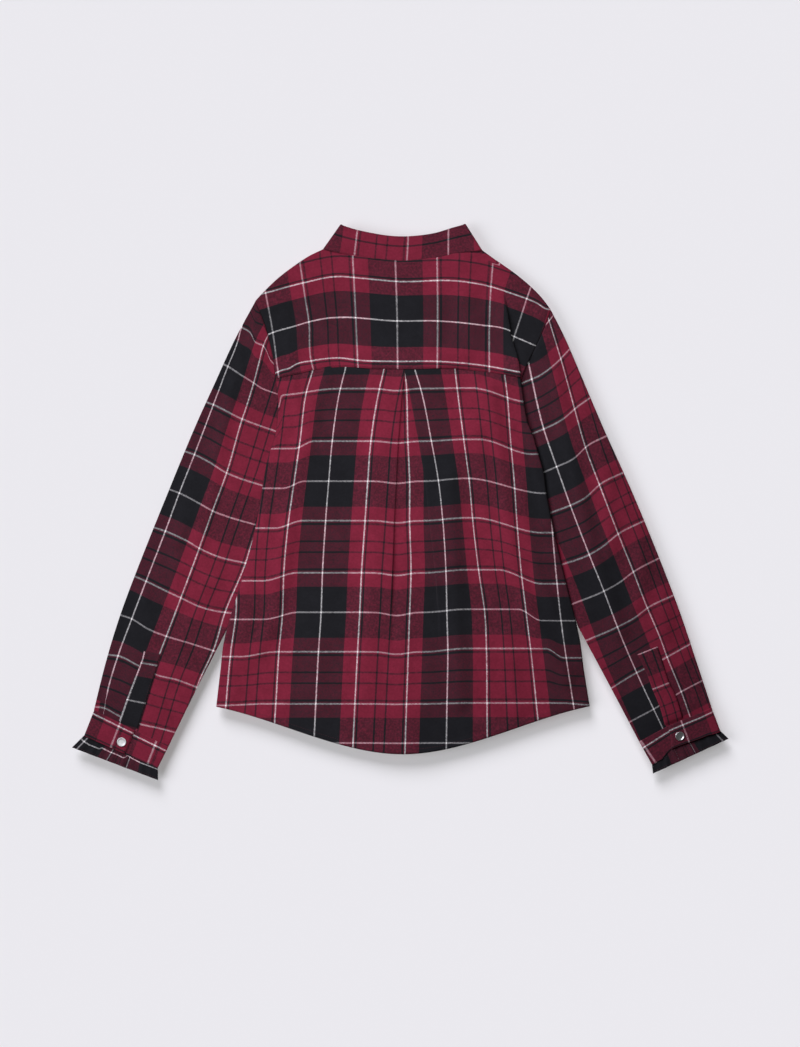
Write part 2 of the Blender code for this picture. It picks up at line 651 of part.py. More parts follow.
def make_cuff(side):
    """A cuff wound once round the wrist, its outer end lying over the under one."""
    left_side = side == "left"
    outer_top, inner_top, outer_end, inner_end = (Vector(p) for p in CUFF[side])
    top_level = 3.0 * CUFF_PLY + 2.0 * GAP
    upper_level = 2.0 * CUFF_PLY + GAP
    overlap = CUFF_OVERLAP[side]
    ring = [("top", overlap * (1.0 - k / 4.0)) for k in range(5)]
    ring += [("outer", a) for a in HALF_TURN]
    ring += [("under", k / 7.0) for k in range(8)]
    ring += [("inner", a) for a in HALF_TURN[::-1]]
    ring += [("upper", blend(1.0, overlap - CUFF_UNDERLAP, k / 5.0)) for k in range(6)]
    if left_side:
        ring = ring[::-1]

    def place(column, t):
        part, f = ring[column]
        a, b = outer_top.lerp(outer_end, t), inner_top.lerp(inner_end, t)
        way = (b - a).normalized()
        big, small = 0.5 * top_level, 0.5 * upper_level
        inner_a, inner_b = a + way * big, b - way * small
        if part == "outer":
            p = inner_a - way * big * math.cos(f)
            return p.x, p.y, big * (1.0 + math.sin(f))
        if part == "inner":
            p = inner_b + way * small * math.cos(f)
            return p.x, p.y, small * (1.0 + math.sin(f))
        p = inner_a.lerp(inner_b, f)
        level = {"top": top_level, "under": 0.0, "upper": upper_level}[part]
        return p.x, p.y, level

    cloth("cuff_" + side, len(ring) - 1, 3, place, CUFF_PLY, -1.0)


def make_frill(side):
    """The gathered frill round the end of a cuff."""
    left_side = side == "left"
    outer_root, inner_root = Vector(CUFF[side][2]), Vector(CUFF[side][3])
    outer_free, inner_free = (Vector(p) for p in FRILL[side])
    down = (outer_root - Vector(CUFF[side][0])).normalized() * GAP
    outer_root, inner_root = outer_root + down, inner_root + down
    count = FRILL_WAVES * WAVE_STEPS
    ring = [("upper", k / count) for k in range(count + 1)]
    ring += [("right", a) for a in TIGHT_TURN]
    ring += [("lower", 1.0 - k / count) for k in range(count + 1)]
    ring += [("left", a) for a in TIGHT_TURN[::-1]]
    ring.append(ring[0])

    def place(column, t):
        part, f = ring[column]
        a, b = outer_root.lerp(outer_free, t), inner_root.lerp(inner_free, t)
        if not left_side:
            a, b = b, a
        way = (b - a).normalized()
        a, b = a + way * SLEEVE_EDGE, b - way * SLEEVE_EDGE
        if part in ("left", "right"):
            end, out = (b, way) if part == "right" else (a, -way)
            p = end + out * SLEEVE_EDGE * math.cos(f)
            return p.x, p.y, SLEEVE_EDGE * (1.0 + math.sin(f))
        wave = t * math.sin(math.pi * FRILL_WAVES * f) ** 2
        p = a.lerp(b, f)
        if part == "upper":
            return p.x, p.y, SLEEVE_THICK + FRILL_RISE * wave
        return p.x, p.y, FRILL_UNDER * wave

    cloth("cuff_ruffle_" + side, len(ring) - 1, 3, place, PLY, -1.0, closed=True,
          colour=FLANNEL_DARK)


def turned(name, profile, segments, x, y, z):
    """A turned metal piece from its (radius, height) profile, listed from the top down."""
    bm = bmesh.new()
    points = [bm.verts.new((r * MM, 0.0, h * MM)) for r, h in profile]
    for a, b in zip(points, points[1:]):
        bm.edges.new((a, b))
    made = add_object(name, bm, STEEL, 0.25, 1.0)
    spin = made.modifiers.new("turn", "SCREW")
    spin.steps = spin.render_steps = segments
    spin.use_merge_vertices = True
    spin.merge_threshold = 0.00001
    made.location = (x * MM, y * MM, z * MM)
    return made


def make_snaps():
    """Domed snaps on the cuffs, and the flat caps of the front's snaps under the band."""
    dome = []
    for angle in (0.0, 30.0, 60.0, 90.0):
        turn = math.radians(angle)
        dome.append((DOME_SHARE * SNAP_RADIUS * math.sin(turn),
                     CUFF_SNAP_HEIGHT - DOME_RISE * (1.0 - math.cos(turn))))
    snap = dome + [(SNAP_RADIUS, RIM_HEIGHT), (SNAP_RADIUS, RIM_BEVEL[1]),
                   (SNAP_RADIUS - RIM_BEVEL[0], 0.0), (0.0, 0.0)]
    level = 3.0 * CUFF_PLY + 3.0 * GAP
    for side, (x, y) in CUFF_SNAP_PLACE.items():
        turned("cuff_snap_" + side, snap, 20, x, y, level)
    cap = [(0.0, CAP_HEIGHT), (SNAP_RADIUS, CAP_HEIGHT), (SNAP_RADIUS, CAP_BEVEL[1]),
           (SNAP_RADIUS - CAP_BEVEL[0], 0.0), (0.0, 0.0)]
    for k in range(FRONT_SNAPS):
        y = FIRST_SNAP_Y - SNAP_PITCH * k
        turned("front_snap_%d" % (k + 1), cap, 16, CENTRE_X, y, 0.0)


shirt = new_collection("flannel_shirt")
make_back()
make_yoke()
make_front("front_left", FRONT_NECK_LEFT, SHOULDER_LEFT, armhole_left, side_left, -1)
make_front("front_right", FRONT_NECK_RIGHT, SHOULDER_RIGHT, armhole_right, side_right, 1)
make_front_band()
make_collar()
for each_side in ("left", "right"):
    make_sleeve(each_side)
    make_slit_band(each_side)
    make_cuff(each_side)
    make_frill(each_side)
make_snaps()
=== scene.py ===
import json
import math

import bmesh
import bpy
import numpy as np
from mathutils import Matrix, Vector
from mathutils.bvhtree import BVHTree

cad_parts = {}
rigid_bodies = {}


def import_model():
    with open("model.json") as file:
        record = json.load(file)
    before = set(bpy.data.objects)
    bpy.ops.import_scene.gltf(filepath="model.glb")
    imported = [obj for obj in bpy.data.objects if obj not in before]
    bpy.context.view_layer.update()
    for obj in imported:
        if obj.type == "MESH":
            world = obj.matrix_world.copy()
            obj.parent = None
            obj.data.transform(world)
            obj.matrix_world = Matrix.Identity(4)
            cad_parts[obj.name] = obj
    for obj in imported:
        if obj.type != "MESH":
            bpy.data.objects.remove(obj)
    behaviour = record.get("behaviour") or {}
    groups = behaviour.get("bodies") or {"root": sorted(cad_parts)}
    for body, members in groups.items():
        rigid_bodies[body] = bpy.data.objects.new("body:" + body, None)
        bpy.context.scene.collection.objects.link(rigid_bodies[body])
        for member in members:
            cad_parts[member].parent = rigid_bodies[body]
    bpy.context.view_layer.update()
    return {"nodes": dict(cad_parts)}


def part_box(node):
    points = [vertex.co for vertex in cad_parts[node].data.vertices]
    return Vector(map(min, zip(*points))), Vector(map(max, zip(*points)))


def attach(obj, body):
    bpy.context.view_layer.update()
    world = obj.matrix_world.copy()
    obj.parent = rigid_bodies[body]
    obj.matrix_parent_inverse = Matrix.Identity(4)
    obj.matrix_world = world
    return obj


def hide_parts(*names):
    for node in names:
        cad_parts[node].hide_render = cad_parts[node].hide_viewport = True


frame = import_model()
print("frame loaded:", len(frame["nodes"]), "nodes")

mm = 0.001
sides = ("left", "right")

# a plaid that is the same across and along the cloth, in mm: its white lines are numbered from
# the one in the middle of a black band
sett = {
    "repeat": 146.8,
    "band": 28.7,          # half the width of the black band
    "line": 44.4,          # the white lines to each side of it
    "pin": 67.3,           # the thin black stripes in the red
    "pinHalf": 0.95,
    # half width of a white line, then place and half width of the black stripe beside the outer two
    "warp": (0.80, 47.5, 0.92),
    "weft": (0.90, 48.1, 1.20),
}

look = {
    "red": (0.492, 0.159, 0.234),      # yarn colours
    "black": (0.139, 0.141, 0.155),
    "white": (0.980, 0.970, 0.972),
    "warpShare": 0.59,     # how much of the surface the warp covers
    "thread": 0.42,        # from one thread to the next
    "nap": 0.10,
    "heather": 0.75,       # how unevenly the two yarns mix
    "stray": 0.9,          # how far the lines' rims stray
    "twill": 0.34,         # how clearly the weave shows
    "bump": (0.55, 0.00022),
    # scale and detail of the noises: the lines' rims, the fluff, the mixing of yarns, the nap
    "noise": {"stray": (900, 1), "fluff": (1500, 3), "mottle": (420, 4), "nap": (75, 3)},
    "sheen": (0.05, 0.6, (0.9, 0.75, 0.78, 1)),
}


# curves in the plan, as arrays of points in mm
def smoothLine(points, steps=8):
    knots = np.array(points, float)
    ends = np.vstack([2 * knots[0] - knots[1], knots, 2 * knots[-1] - knots[-2]])
    f = np.arange(steps)[:, None] / steps
    parts = []
    for a, b, c, d in zip(ends, ends[1:], ends[2:], ends[3:]):
        parts.append(0.5 * (2 * b + (c - a) * f + (2 * a - 5 * b + 4 * c - d) * f ** 2
                            + (3 * b - a - 3 * c + d) * f ** 3))
    return np.vstack(parts + [knots[-1:]])


def along(line, f):
    steps = np.hypot(*np.diff(line, axis=0).T)
    way = np.concatenate([[0.0], np.cumsum(steps)]) / steps.sum()
    return np.stack([np.interp(f, way, line[:, k]) for k in range(line.shape[1])], axis=-1)


# the line moved to its left, seen along its way
def movedIn(line, distance):
    ways = np.gradient(line, axis=0)
    ways /= np.hypot(*ways.T)[:, None]
    return line + distance * np.stack([-ways[:, 1], ways[:, 0]], axis=-1)


def ease(f):
    f = np.clip(f, 0.0, 1.0)
    return f * f * (3.0 - 2.0 * f)


def mix(a, b, f):
    return a + (b - a) * f


def awayFrom(p, line):
    best = np.full(len(p), 1e9)
    for a, b in zip(line, line[1:]):
        way = b - a
        f = np.clip((p - a) @ way / max(way @ way, 1e-9), 0.0, 1.0)
        best = np.minimum(best, np.hypot(*(p - a - f[:, None] * way).T))
    return best


def awayFromRegion(p, ring):
    inside = np.zeros(len(p), bool)
    for a, b in zip(ring, np.roll(ring, -1, axis=0)):
        if a[1] != b[1]:
            crossing = a[0] + (b[0] - a[0]) * (p[:, 1] - a[1]) / (b[1] - a[1])
            inside ^= ((a[1] > p[:, 1]) != (b[1] > p[:, 1])) & (p[:, 0] < crossing)
    return np.where(inside, 0.0, awayFrom(p, np.vstack([ring, ring[:1]])))


# a sheet stretched between four edges: s runs across and t down
def coons(top, bottom, left, right):
    def place(s, t):
        s, t = s[:, None], t[:, None]
        corners = ((1 - s) * (1 - t) * top[0] + s * (1 - t) * top[-1]
                   + (1 - s) * t * bottom[0] + s * t * bottom[-1])
        return ((1 - t) * along(top, s[:, 0]) + t * along(bottom, s[:, 0])
                + (1 - s) * along(left, t[:, 0]) + s * along(right, t[:, 0]) - corners)
    return place


# a smooth curve through the values, straight past its ends
def smooth(keys, values, at):
    keys, values = np.asarray(keys, float), np.asarray(values, float)
    steps = np.diff(keys)
    slopes = np.diff(values) / steps
    inner = (slopes[1:] * steps[:-1] + slopes[:-1] * steps[1:]) / (steps[1:] + steps[:-1])
    turns = np.concatenate([slopes[:1], inner, slopes[-1:]])
    k = np.clip(np.searchsorted(keys, at) - 1, 0, len(keys) - 2)
    h = steps[k]
    f = (at - keys[k]) / h
    curve = ((1 + 2 * f) * (1 - f) ** 2 * values[k] + f * (1 - f) ** 2 * h * turns[k]
             + f * f * (3 - 2 * f) * values[k + 1] + f * f * (f - 1) * h * turns[k + 1])
    before = values[0] + turns[0] * (at - keys[0])
    after = values[-1] + turns[-1] * (at - keys[-1])
    return np.where(f < 0, before, np.where(f > 1, after, curve))


# cloth coordinates: how far a spot lies across and along the plaid
def whiteLine(number):
    return number // 3 * sett["repeat"] + (0.0, sett["line"], sett["repeat"] - sett["line"])[number % 3]


def plaidBetween(numbers, places, at):
    lines = [whiteLine(n) for n in numbers]
    value = lines[0] + at - places[0]
    for k in range(len(lines) - 1):
        share = (at - places[k]) / (places[k + 1] - places[k])
        value = np.where(share > 0, lines[k] + share * (lines[k + 1] - lines[k]), value)
    return np.where(at > places[-1], lines[-1] + at - places[-1], value)


def plaidAcross(p, warps):
    numbers = sorted(warps)
    places = []
    for n in numbers:
        line = np.array(warps[n])[::-1]
        places.append(smooth(line[:, 1], line[:, 0], p[:, 1]))
    return plaidBetween(numbers, places, p[:, 0])


def plaidDown(p, wefts):
    numbers = sorted(wefts)
    places = []
    for n in numbers:
        line = np.array(wefts[n])
        places.append(-smooth(line[:, 0], line[:, 1], p[:, 0]))
    return plaidBetween(numbers, places, -p[:, 1])


# outlines shared by the pieces
outline = {
    "collarTop": ((-69.5, 309), (-60.5, 310.4), (-31.8, 303.9), (-0.3, 299.6), (31.2, 302.4), (63, 310.2),
                  (75, 312.86)),
    "neckSeam": ((-87, 284.3), (-62, 278.6), (-30, 272.8), (4.7, 270), (36, 273.6), (66, 279.6),
                 (92.4, 282.9)),
    "shoulder": {
        "left": ((-87, 284.3), (-106.1, 274.5), (-134.2, 254.2), (-153.3, 236.2), (-163.5, 225)),
        "right": ((92.4, 282.9), (103.2, 275), (132.4, 254.2), (154.9, 234), (169.5, 215.6)),
    },
    "armhole": {
        "left": ((-163.5, 225), (-158, 214), (-149.3, 189), (-143, 162), (-139.8, 140)),
        "right": ((169.5, 215.6), (163.6, 199), (154.6, 179), (145, 159.4), (136.6, 141)),
    },
    "underarm": {
        "left": ((-139.8, 140), (-129, 114.8), (-111, 87), (-88.4, 65.2)),
        "right": ((136.6, 141), (126, 116), (110, 87), (89.7, 65.2)),
    },
    "side": {
        "left": ((-139.8, 139), (-136.8, 109.1), (-140.1, 75.7), (-150, 42.8), (-161.7, -24.8), (-175, -78),
                 (-196.4, -150), (-202, -190), (-206.7, -230.4)),
        "right": ((136.6, 140), (141.3, 106.9), (148.2, 76.8), (161, 26), (170.1, -18), (186.5, -92),
                  (200.6, -149.6), (206.4, -190), (212.8, -229.8)),
    },
    "frontNeck": {
        "left": ((-87, 284.3), (-70, 250), (-44, 222), (-7.6, 209)),
        "right": ((92.4, 282.9), (79, 250), (54, 222), (17, 209)),
    },
    "frontCollar": {
        "left": ((-69.5, 309), (-52, 274), (-30, 249), (3.9, 237.5)),
        "right": ((75, 312.86), (61, 274), (40, 249), (5.5, 237.5)),
    },
    "sleeveGap": {"left": (-195.2, -144), "right": (200.2, -140.6)},
    "sleeveOuter": {
        "left": ((-163.5, 225), (-186.4, 182.2), (-209.6, 131.6), (-232.4, 81), (-260.2, 13.5),
                 (-287.4, -54), (-313.1, -121.5), (-330.6, -177.8), (-345.4, -237)),
        "right": ((169.5, 215.6), (186.2, 182.2), (207.8, 131.6), (229.4, 81), (259.8, 13.5), (287.7, -54),
                  (313.7, -121.5), (332.6, -177.8), (351.5, -234.9)),
    },
    "sleeveInner": {
        "left": ((-88.4, 65.2), (-105, 32.6), (-138.4, -32.6), (-171.6, -97.8), (-204.6, -162.6),
                 (-231.4, -215.1), (-262.1, -277.9)),
        "right": ((89.7, 65.2), (104.5, 38.4), (139.7, -27.6), (174.6, -92.7), (209.1, -157.3),
                  (237.7, -210.6), (270.8, -273.4)),
    },
}

layers = {
    "wall": 0.8,           # one layer of brushed flannel
    "ply": 1.1,            # what a layer takes up with its nap
    "gap": 0.3,
    "backGap": 0.45,
    "centreX": 4.7,
    "sleeveEdge": 1.25,    # roll of a flattened sleeve at its long edges
    "liftMargin": 13,      # how far past a hidden sleeve the body stays raised by it
    "liftRun": 46,
    "bandHalf": 12,
    "bandLift": 1.5,
    "bandRun": 40,
    "puff": 0.9,
    "edgeRoll": 9,
    "seamCurve": 9,        # how far the yoke seam stands above its two ends
    "hemDrop": 53.6,
    "frontHemUp": 6,       # how far the fronts' hem stands above the back's
    "creaseFade": 22,      # creases die out this far from an edge
    "overCollar": (4, 20, 0.3),       # margin, run and height of the rise over the collar's front
}
sleeveThick = 2.0 * layers["sleeveEdge"]
sleeveLift = sleeveThick + layers["gap"]

side = {k: smoothLine(outline["side"][k]) for k in sides}
armhole = {k: smoothLine(outline["armhole"][k]) for k in sides}
shoulder = {k: smoothLine(outline["shoulder"][k]) for k in sides}
sleeveEdges = {k: (smoothLine(outline["sleeveOuter"][k]), smoothLine(outline["sleeveInner"][k]))
               for k in sides}
bodyEdges = {k: np.vstack([shoulder[k], armhole[k][1:], side[k][1:]]) for k in sides}
collarRing = np.vstack([smoothLine(outline["frontNeck"]["left"]),
                        smoothLine(outline["frontNeck"]["right"])[::-1],
                        smoothLine(outline["frontCollar"]["right"]),
                        smoothLine(outline["frontCollar"]["left"])[::-1]])


def hiddenPart(k):
    gap = np.array(outline["sleeveGap"][k])
    nearest = np.hypot(*(side[k] - gap).T).argmin()
    return np.vstack([smoothLine(outline["underarm"][k]), gap[None], side[k][:nearest + 1][::-1]])


hidden = {k: hiddenPart(k) for k in sides}


def backPoint(q, t, raised=0.0):
    left, right = along(side["left"], t), along(side["right"], t)
    far = np.abs(2.0 * q - 1.0)
    shape = (1 - t) * far ** 4 + t * (0.6 * ease(far) + 0.4 * far ** 2)
    drop = mix(layers["seamCurve"], raised - layers["hemDrop"], t) * (1.0 - shape)
    return np.stack([mix(left[:, 0], right[:, 0], q), mix(left[:, 1], right[:, 1], q) + drop], axis=-1)


def acrossBody(t, raised=0.0):
    q = np.linspace(0.0, 1.0, 81)
    return backPoint(q, np.full(len(q), t), raised)


yokeSeam = acrossBody(0.0)
hemLine = acrossBody(1.0)
frontHem = acrossBody(1.0, layers["frontHemUp"])
sewnSeam = smoothLine(((-139.8, 139), (-126, 141.8), (-111, 145), (-98.2, 148.2), (-87, 149.2),
                       (-78.4, 150.7), (-64.7, 151.6), (-52.5, 151.2), (-34.5, 149.8), (-18.1, 149.4),
                       (16.3, 149.1), (40.7, 150), (61.2, 150), (83.6, 147.6), (99.9, 145.8), (117.2, 143.2),
                       (136.6, 140)))


# creases: each a soft ridge along a path, with its half width and its height
def creaseRise(p, creases):
    total = np.zeros(len(p))
    for path, width, rise in creases:
        away = awayFrom(p, smoothLine(path, 5))
        total += rise * np.exp(-(away / width) ** 2)
    return total


def ripple(p, size, seed):
    chance = np.random.default_rng(seed)
    total = np.zeros(len(p))
    for _ in range(7):
        turn = chance.uniform(0.0, math.tau)
        wave = size * chance.uniform(0.7, 1.6)
        phase = chance.uniform(0.0, math.tau)
        total += np.sin((p[:, 0] * math.cos(turn) + p[:, 1] * math.sin(turn)) * math.tau / wave + phase)
    return total / 7.0


def frontFloor(p):
    onSleeve = np.minimum(*(awayFromRegion(p, hidden[k]) for k in sides))
    raised = sleeveLift * (1.0 - ease((onSleeve - layers["liftMargin"]) / layers["liftRun"]))
    beside = np.abs(p[:, 0] - layers["centreX"]) - layers["bandHalf"] - 4.0
    return np.maximum(raised, layers["bandLift"] * (1.0 - ease(beside / layers["bandRun"])))


body = {
    # path, half width, height of the back's creases
    "creases": (
        (((-82, 140), (-92, 122), (-107, 68), (-118, 24), (-125, -21), (-135, -80), (-140, -124),
          (-160, -169)), 10, 2.7),
        (((-146, 40), (-154, 0), (-163, -40), (-173, -84)), 7, 1.9),
        (((100, 128), (110, 68), (115, 24), (121, -21), (132, -80), (146, -124), (170, -169),
          (188, -200)), 9, 2.8),
        (((133, 20), (142, -30), (156, -84), (170, -120)), 8, 1.4),
        (((-30, 60), (-32, -20), (-33, -100), (-38, -215)), 11, 1.9),
        (((56, 30), (59, -40), (62, -110), (66, -225)), 10, 2.7),
        (((4, -40), (8, -110), (2, -200)), 9, 1.1),
        (((-60, 146), (-66, 110), (-70, 70)), 12, 1.1),
        (((84, 140), (88, 100), (92, 50)), 11, 1.4),
        (((-122, 132), (-118, 112), (-114, 92)), 5, 1.8),
        (((-131, 118), (-126, 100), (-124, 84)), 4, 1.3),
        (((-176, -120), (-184, -170), (-188, -215)), 9, 1.3),
        (((176, -60), (184, -110), (192, -150)), 7, 1.2),
        (((-84, -60), (-90, -130), (-96, -230)), 13, 1.4),
        (((118, -150), (126, -190), (130, -236)), 10, 1.3),
    ),
    "yokeCreases": (
        (((-132, 224), (-127, 200), (-122, 168)), 9, 1.6),
        (((-60, 264), (-84, 250), (-104, 232)), 12, 1.1),
        (((-46, 262), (-43, 215), (-47, 168)), 12, 1.6),
        (((66, 262), (74, 215), (76, 168)), 16, 2.5),
        (((40, 246), (42, 212), (40, 176)), 9, 0.9),
        (((112, 232), (118, 205), (122, 184)), 6, 1),
    ),
    "ripple": 0.28,
    # the left edge curls in below the armhole: its middle and half length, how far the plaid is
    # carried down, and from how far in
    "curl": (92, 34, 13, 6.5),
    # at each height, how far the right edge lies in from the outline; it stands up from the sleeve
    "rightIn": ((-110, 0), (-72, 0.4), (-30, 1), (11.8, 0.5), (32.7, -1.6), (53.6, -0.9), (74.5, -0.5),
                (89, 2.3), (116, 1.7), (145, 1.9)),
    "rightLift": ((-70, 0), (-10, 1.2), (108, 1.2), (134, 0)),
}

pleat = {
    "radius": 0.5,
    "steps": 5,
    "spread": 48,
    "above": 60,
    # drop below the seam, edges of the left and right fold, depth folded under, turn in degrees
    "folds": (
        (0, 4.9, 5.2, 16.6, 180),
        (8, 4, 6.4, 15.4, 180),
        (22, 2.2, 10.2, 13.2, 180),
        (81, -2.6, 21.2, 8.2, 180),
        (126, -4.8, 28.4, 5.4, 180),
        (171, -7.1, 32.6, 3.2, 178),
        (205, -8.4, 37, 1.8, 140),
        (240, -9.8, 41, 1.2, 84),
        (275, -11.2, 44.4, 1, 36),
        (318, -12.4, 46.6, 1, 0),
        (440, -13.5, 48, 1, 0),
    ),
}
pleatTable = np.array(pleat["folds"])


def pleatValue(drop, column):
    return np.interp(drop, pleatTable[:, 0], pleatTable[:, column])


# steps across and down that lead round a fold: over its edge, under it, and back round
def foldSteps(turn, run):
    count = pleat["steps"]
    chord = 2.0 * pleat["radius"] * math.sin(0.5 * math.pi / count)
    steps = []
    for k in range(count):
        way = turn * (k + 0.5) / count
        steps.append((chord * np.cos(way), chord * np.sin(way)))
    for _ in range(3):
        steps.append((run / 3.0 * np.cos(turn), run / 3.0 * np.sin(turn)))
    for k in range(count):
        way = turn * (1.0 - (k + 0.5) / count)
        steps.append((chord * np.cos(way), chord * np.sin(way)))
    return steps


def pleatRise(p):
    drop = yokeSeam[len(yokeSeam) // 2, 1] - p[:, 1]
    turn, run = np.radians(pleatValue(drop, 4)), pleatValue(drop, 3)
    height = sum(z for _, z in foldSteps(turn, run))
    away = np.maximum(pleatValue(drop, 1) - 2 * run - p[:, 0], p[:, 0] - pleatValue(drop, 2) - 2 * run)
    beside = 1.0 - ease(np.maximum(away, 0.0) / pleat["spread"])
    return height * beside * (1.0 - ease(-drop / pleat["above"]))


def backFloor(p, creases):
    start, run, lift = layers["overCollar"]
    collarLift = lift * (1.0 - ease((awayFromRegion(p, collarRing) - start) / run))
    edge = np.minimum(*(awayFrom(p, bodyEdges[k]) for k in sides))
    offEdge = 1.0 - (1.0 - np.minimum(edge / layers["edgeRoll"], 1.0)) ** 2
    relief = creaseRise(p, creases) + body["ripple"] * (1.0 + ripple(p, 42.0, 5))
    swell = layers["puff"] * offEdge + relief * ease(edge / layers["creaseFade"])
    return frontFloor(p) + layers["ply"] + layers["backGap"] + collarLift + swell


# turns of the columns round a rolled edge, and round a fold
rollTurns = np.radians([90.0, 62.0, 36.0, 14.0])
foldTurns = np.radians([60.0, 30.0, 0.0, -30.0, -60.0])
standTurns = np.radians([75.0, 50.0, 25.0, 0.0, -25.0, -50.0, -75.0])
cuffTurns = np.radians([72.0, 48.0, 24.0, 0.0, -24.0, -48.0, -72.0])


# a piece whose columns differ in kind: one call of at() for each of them
def byColumn(ring, at):
    def place(column, row):
        points = np.zeros((len(column), 3))
        plaid = np.zeros((len(column), 2))
        for k, spot in enumerate(ring):
            here = column == k
            points[here], plaid[here] = at(*spot, row[here])
        return points, plaid
    return place


# the columns of a flattened tube, over its top, round its end and back underneath
def tubeColumns(top, under):
    count = len(foldTurns)
    share = np.concatenate([top, np.ones(count), under, np.zeros(count), [0.0]])
    part = np.repeat(["top", "end", "under", "start", "top"], [len(top), count, len(under), count, 1])
    turn = np.concatenate([0.0 * top, foldTurns, 0.0 * under, foldTurns[::-1], [0.0]])
    return share, part, turn


def upFrom(a, b):
    up = np.array([a[1] - b[1], b[0] - a[0]])
    return up * (np.sign(up[1]) / np.hypot(*up))


def boxCentre(node):
    low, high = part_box(node)
    return [0.5 * (low[axis] + high[axis]) for axis in (0, 1)]


# making the pieces
def placed(name, bm, material):
    mesh = bpy.data.meshes.new(name)
    bm.to_mesh(mesh)
    bm.free()
    piece = bpy.data.objects.new(name, mesh)
    bpy.context.scene.collection.objects.link(piece)
    mesh.materials.append(material)
    mesh.shade_smooth()
    return piece


def clothPiece(name, columns, rows, place, wall=layers["wall"], offset=0.0, closed=False,
               crosswise=False):
    bm = bmesh.new()
    bmesh.ops.create_grid(bm, x_segments=columns, y_segments=rows, size=0.5)
    piece = placed(name, bm, flannel)
    mesh = piece.data
    spots = np.empty(3 * len(mesh.vertices))
    mesh.vertices.foreach_get("co", spots)
    spots = spots.reshape(-1, 3)
    column = np.rint((spots[:, 0] + 0.5) * columns).astype(int)
    row = np.rint((0.5 - spots[:, 1]) * rows).astype(int)
    points, plaid = place(column, row)
    if crosswise:  # cut across the cloth, so the warp lies along the rows
        plaid = plaid[:, ::-1]
    mesh.vertices.foreach_set("co", (points * mm).ravel())
    corners = np.empty(len(mesh.loops), np.int32)
    mesh.loops.foreach_get("vertex_index", corners)
    mesh.uv_layers.new(name="plaid").data.foreach_set("uv", np.ascontiguousarray(plaid[corners]).ravel())
    if closed:
        bm = bmesh.new()
        bm.from_mesh(mesh)
        bmesh.ops.remove_doubles(bm, verts=bm.verts, dist=0.000001)
        bm.to_mesh(mesh)
        bm.free()
    mesh.update()
    thick = piece.modifiers.new("wall", "SOLIDIFY")
    thick.thickness = wall * mm
    thick.offset = offset
    thick.use_even_offset = True
    print(name, len(mesh.polygons), "faces")
    return piece


# the flannel
class Nodes:
    def __init__(self, material):
        material.use_nodes = True
        self.tree = material.node_tree
        self.shader = self.tree.nodes["Principled BSDF"]

    def new(self, kind, **settings):
        node = self.tree.nodes.new(kind)
        for key, value in settings.items():
            setattr(node, key, value)
        return node

    def link(self, source, target):
        self.tree.links.new(source, target)

    def math(self, operation, *values):
        node = self.new("ShaderNodeMath", operation=operation)
        for socket, value in zip(node.inputs, values):
            if isinstance(value, (int, float)):
                socket.default_value = value
            else:
                self.link(value, socket)
        return node.outputs[0]

    def noise(self, vector, scale, detail, output="Fac"):
        node = self.new("ShaderNodeTexNoise")
        node.inputs["Scale"].default_value = scale
        node.inputs["Detail"].default_value = detail
        self.link(vector, node.inputs["Vector"])
        return node.outputs[output]

    def blend(self, factor, a, b):
        node = self.new("ShaderNodeMix", data_type="RGBA")
        for index, value in ((0, factor), (6, a), (7, b)):
            if hasattr(value, "is_linked"):
                self.link(value, node.inputs[index])
            else:
                node.inputs[index].default_value = (*value, 1.0)
        return node.outputs[2]

    def swayed(self, value, weight, base):
        return self.math("MULTIPLY_ADD", self.math("SUBTRACT", value, 0.5), weight, base)

    def bump(self, height, strength, distance):
        node = self.new("ShaderNodeBump")
        node.inputs["Strength"].default_value = strength
        node.inputs["Distance"].default_value = distance
        self.link(height, node.inputs["Height"])
        self.link(node.outputs[0], self.shader.inputs["Normal"])

    def surface(self, **values):
        for name, value in values.items():
            self.shader.inputs[name.replace("_", " ")].default_value = value


def yarnRamp(nodes, distance, yarn):
    half = 0.5 * sett["repeat"]
    lineHalf, shade, shadeHalf = sett[yarn]
    ramp = nodes.new("ShaderNodeValToRGB")
    nodes.link(nodes.math("DIVIDE", distance, half), ramp.inputs[0])
    stripes = (
        (0.0, "white"), (lineHalf, "black"), (sett["band"], "red"),
        (sett["line"] - lineHalf, "white"), (sett["line"] + lineHalf, "red"),
        (shade - shadeHalf, "black"), (shade + shadeHalf, "red"),
        (sett["pin"] - sett["pinHalf"], "black"), (sett["pin"] + sett["pinHalf"], "red"),
    )
    soft = 0.12
    stops = [(0.0, "white")]
    for (start, colour), (_, before) in zip(stripes[1:], stripes):
        stops += [(start - soft, before), (start + soft, colour)]
    elements = ramp.color_ramp.elements
    while len(elements) < len(stops):
        elements.new(0.5)
    for element, (place, colour) in zip(elements, stops):
        element.position = place / half
        element.color = (*look[colour], 1.0)
    return ramp.outputs[0]


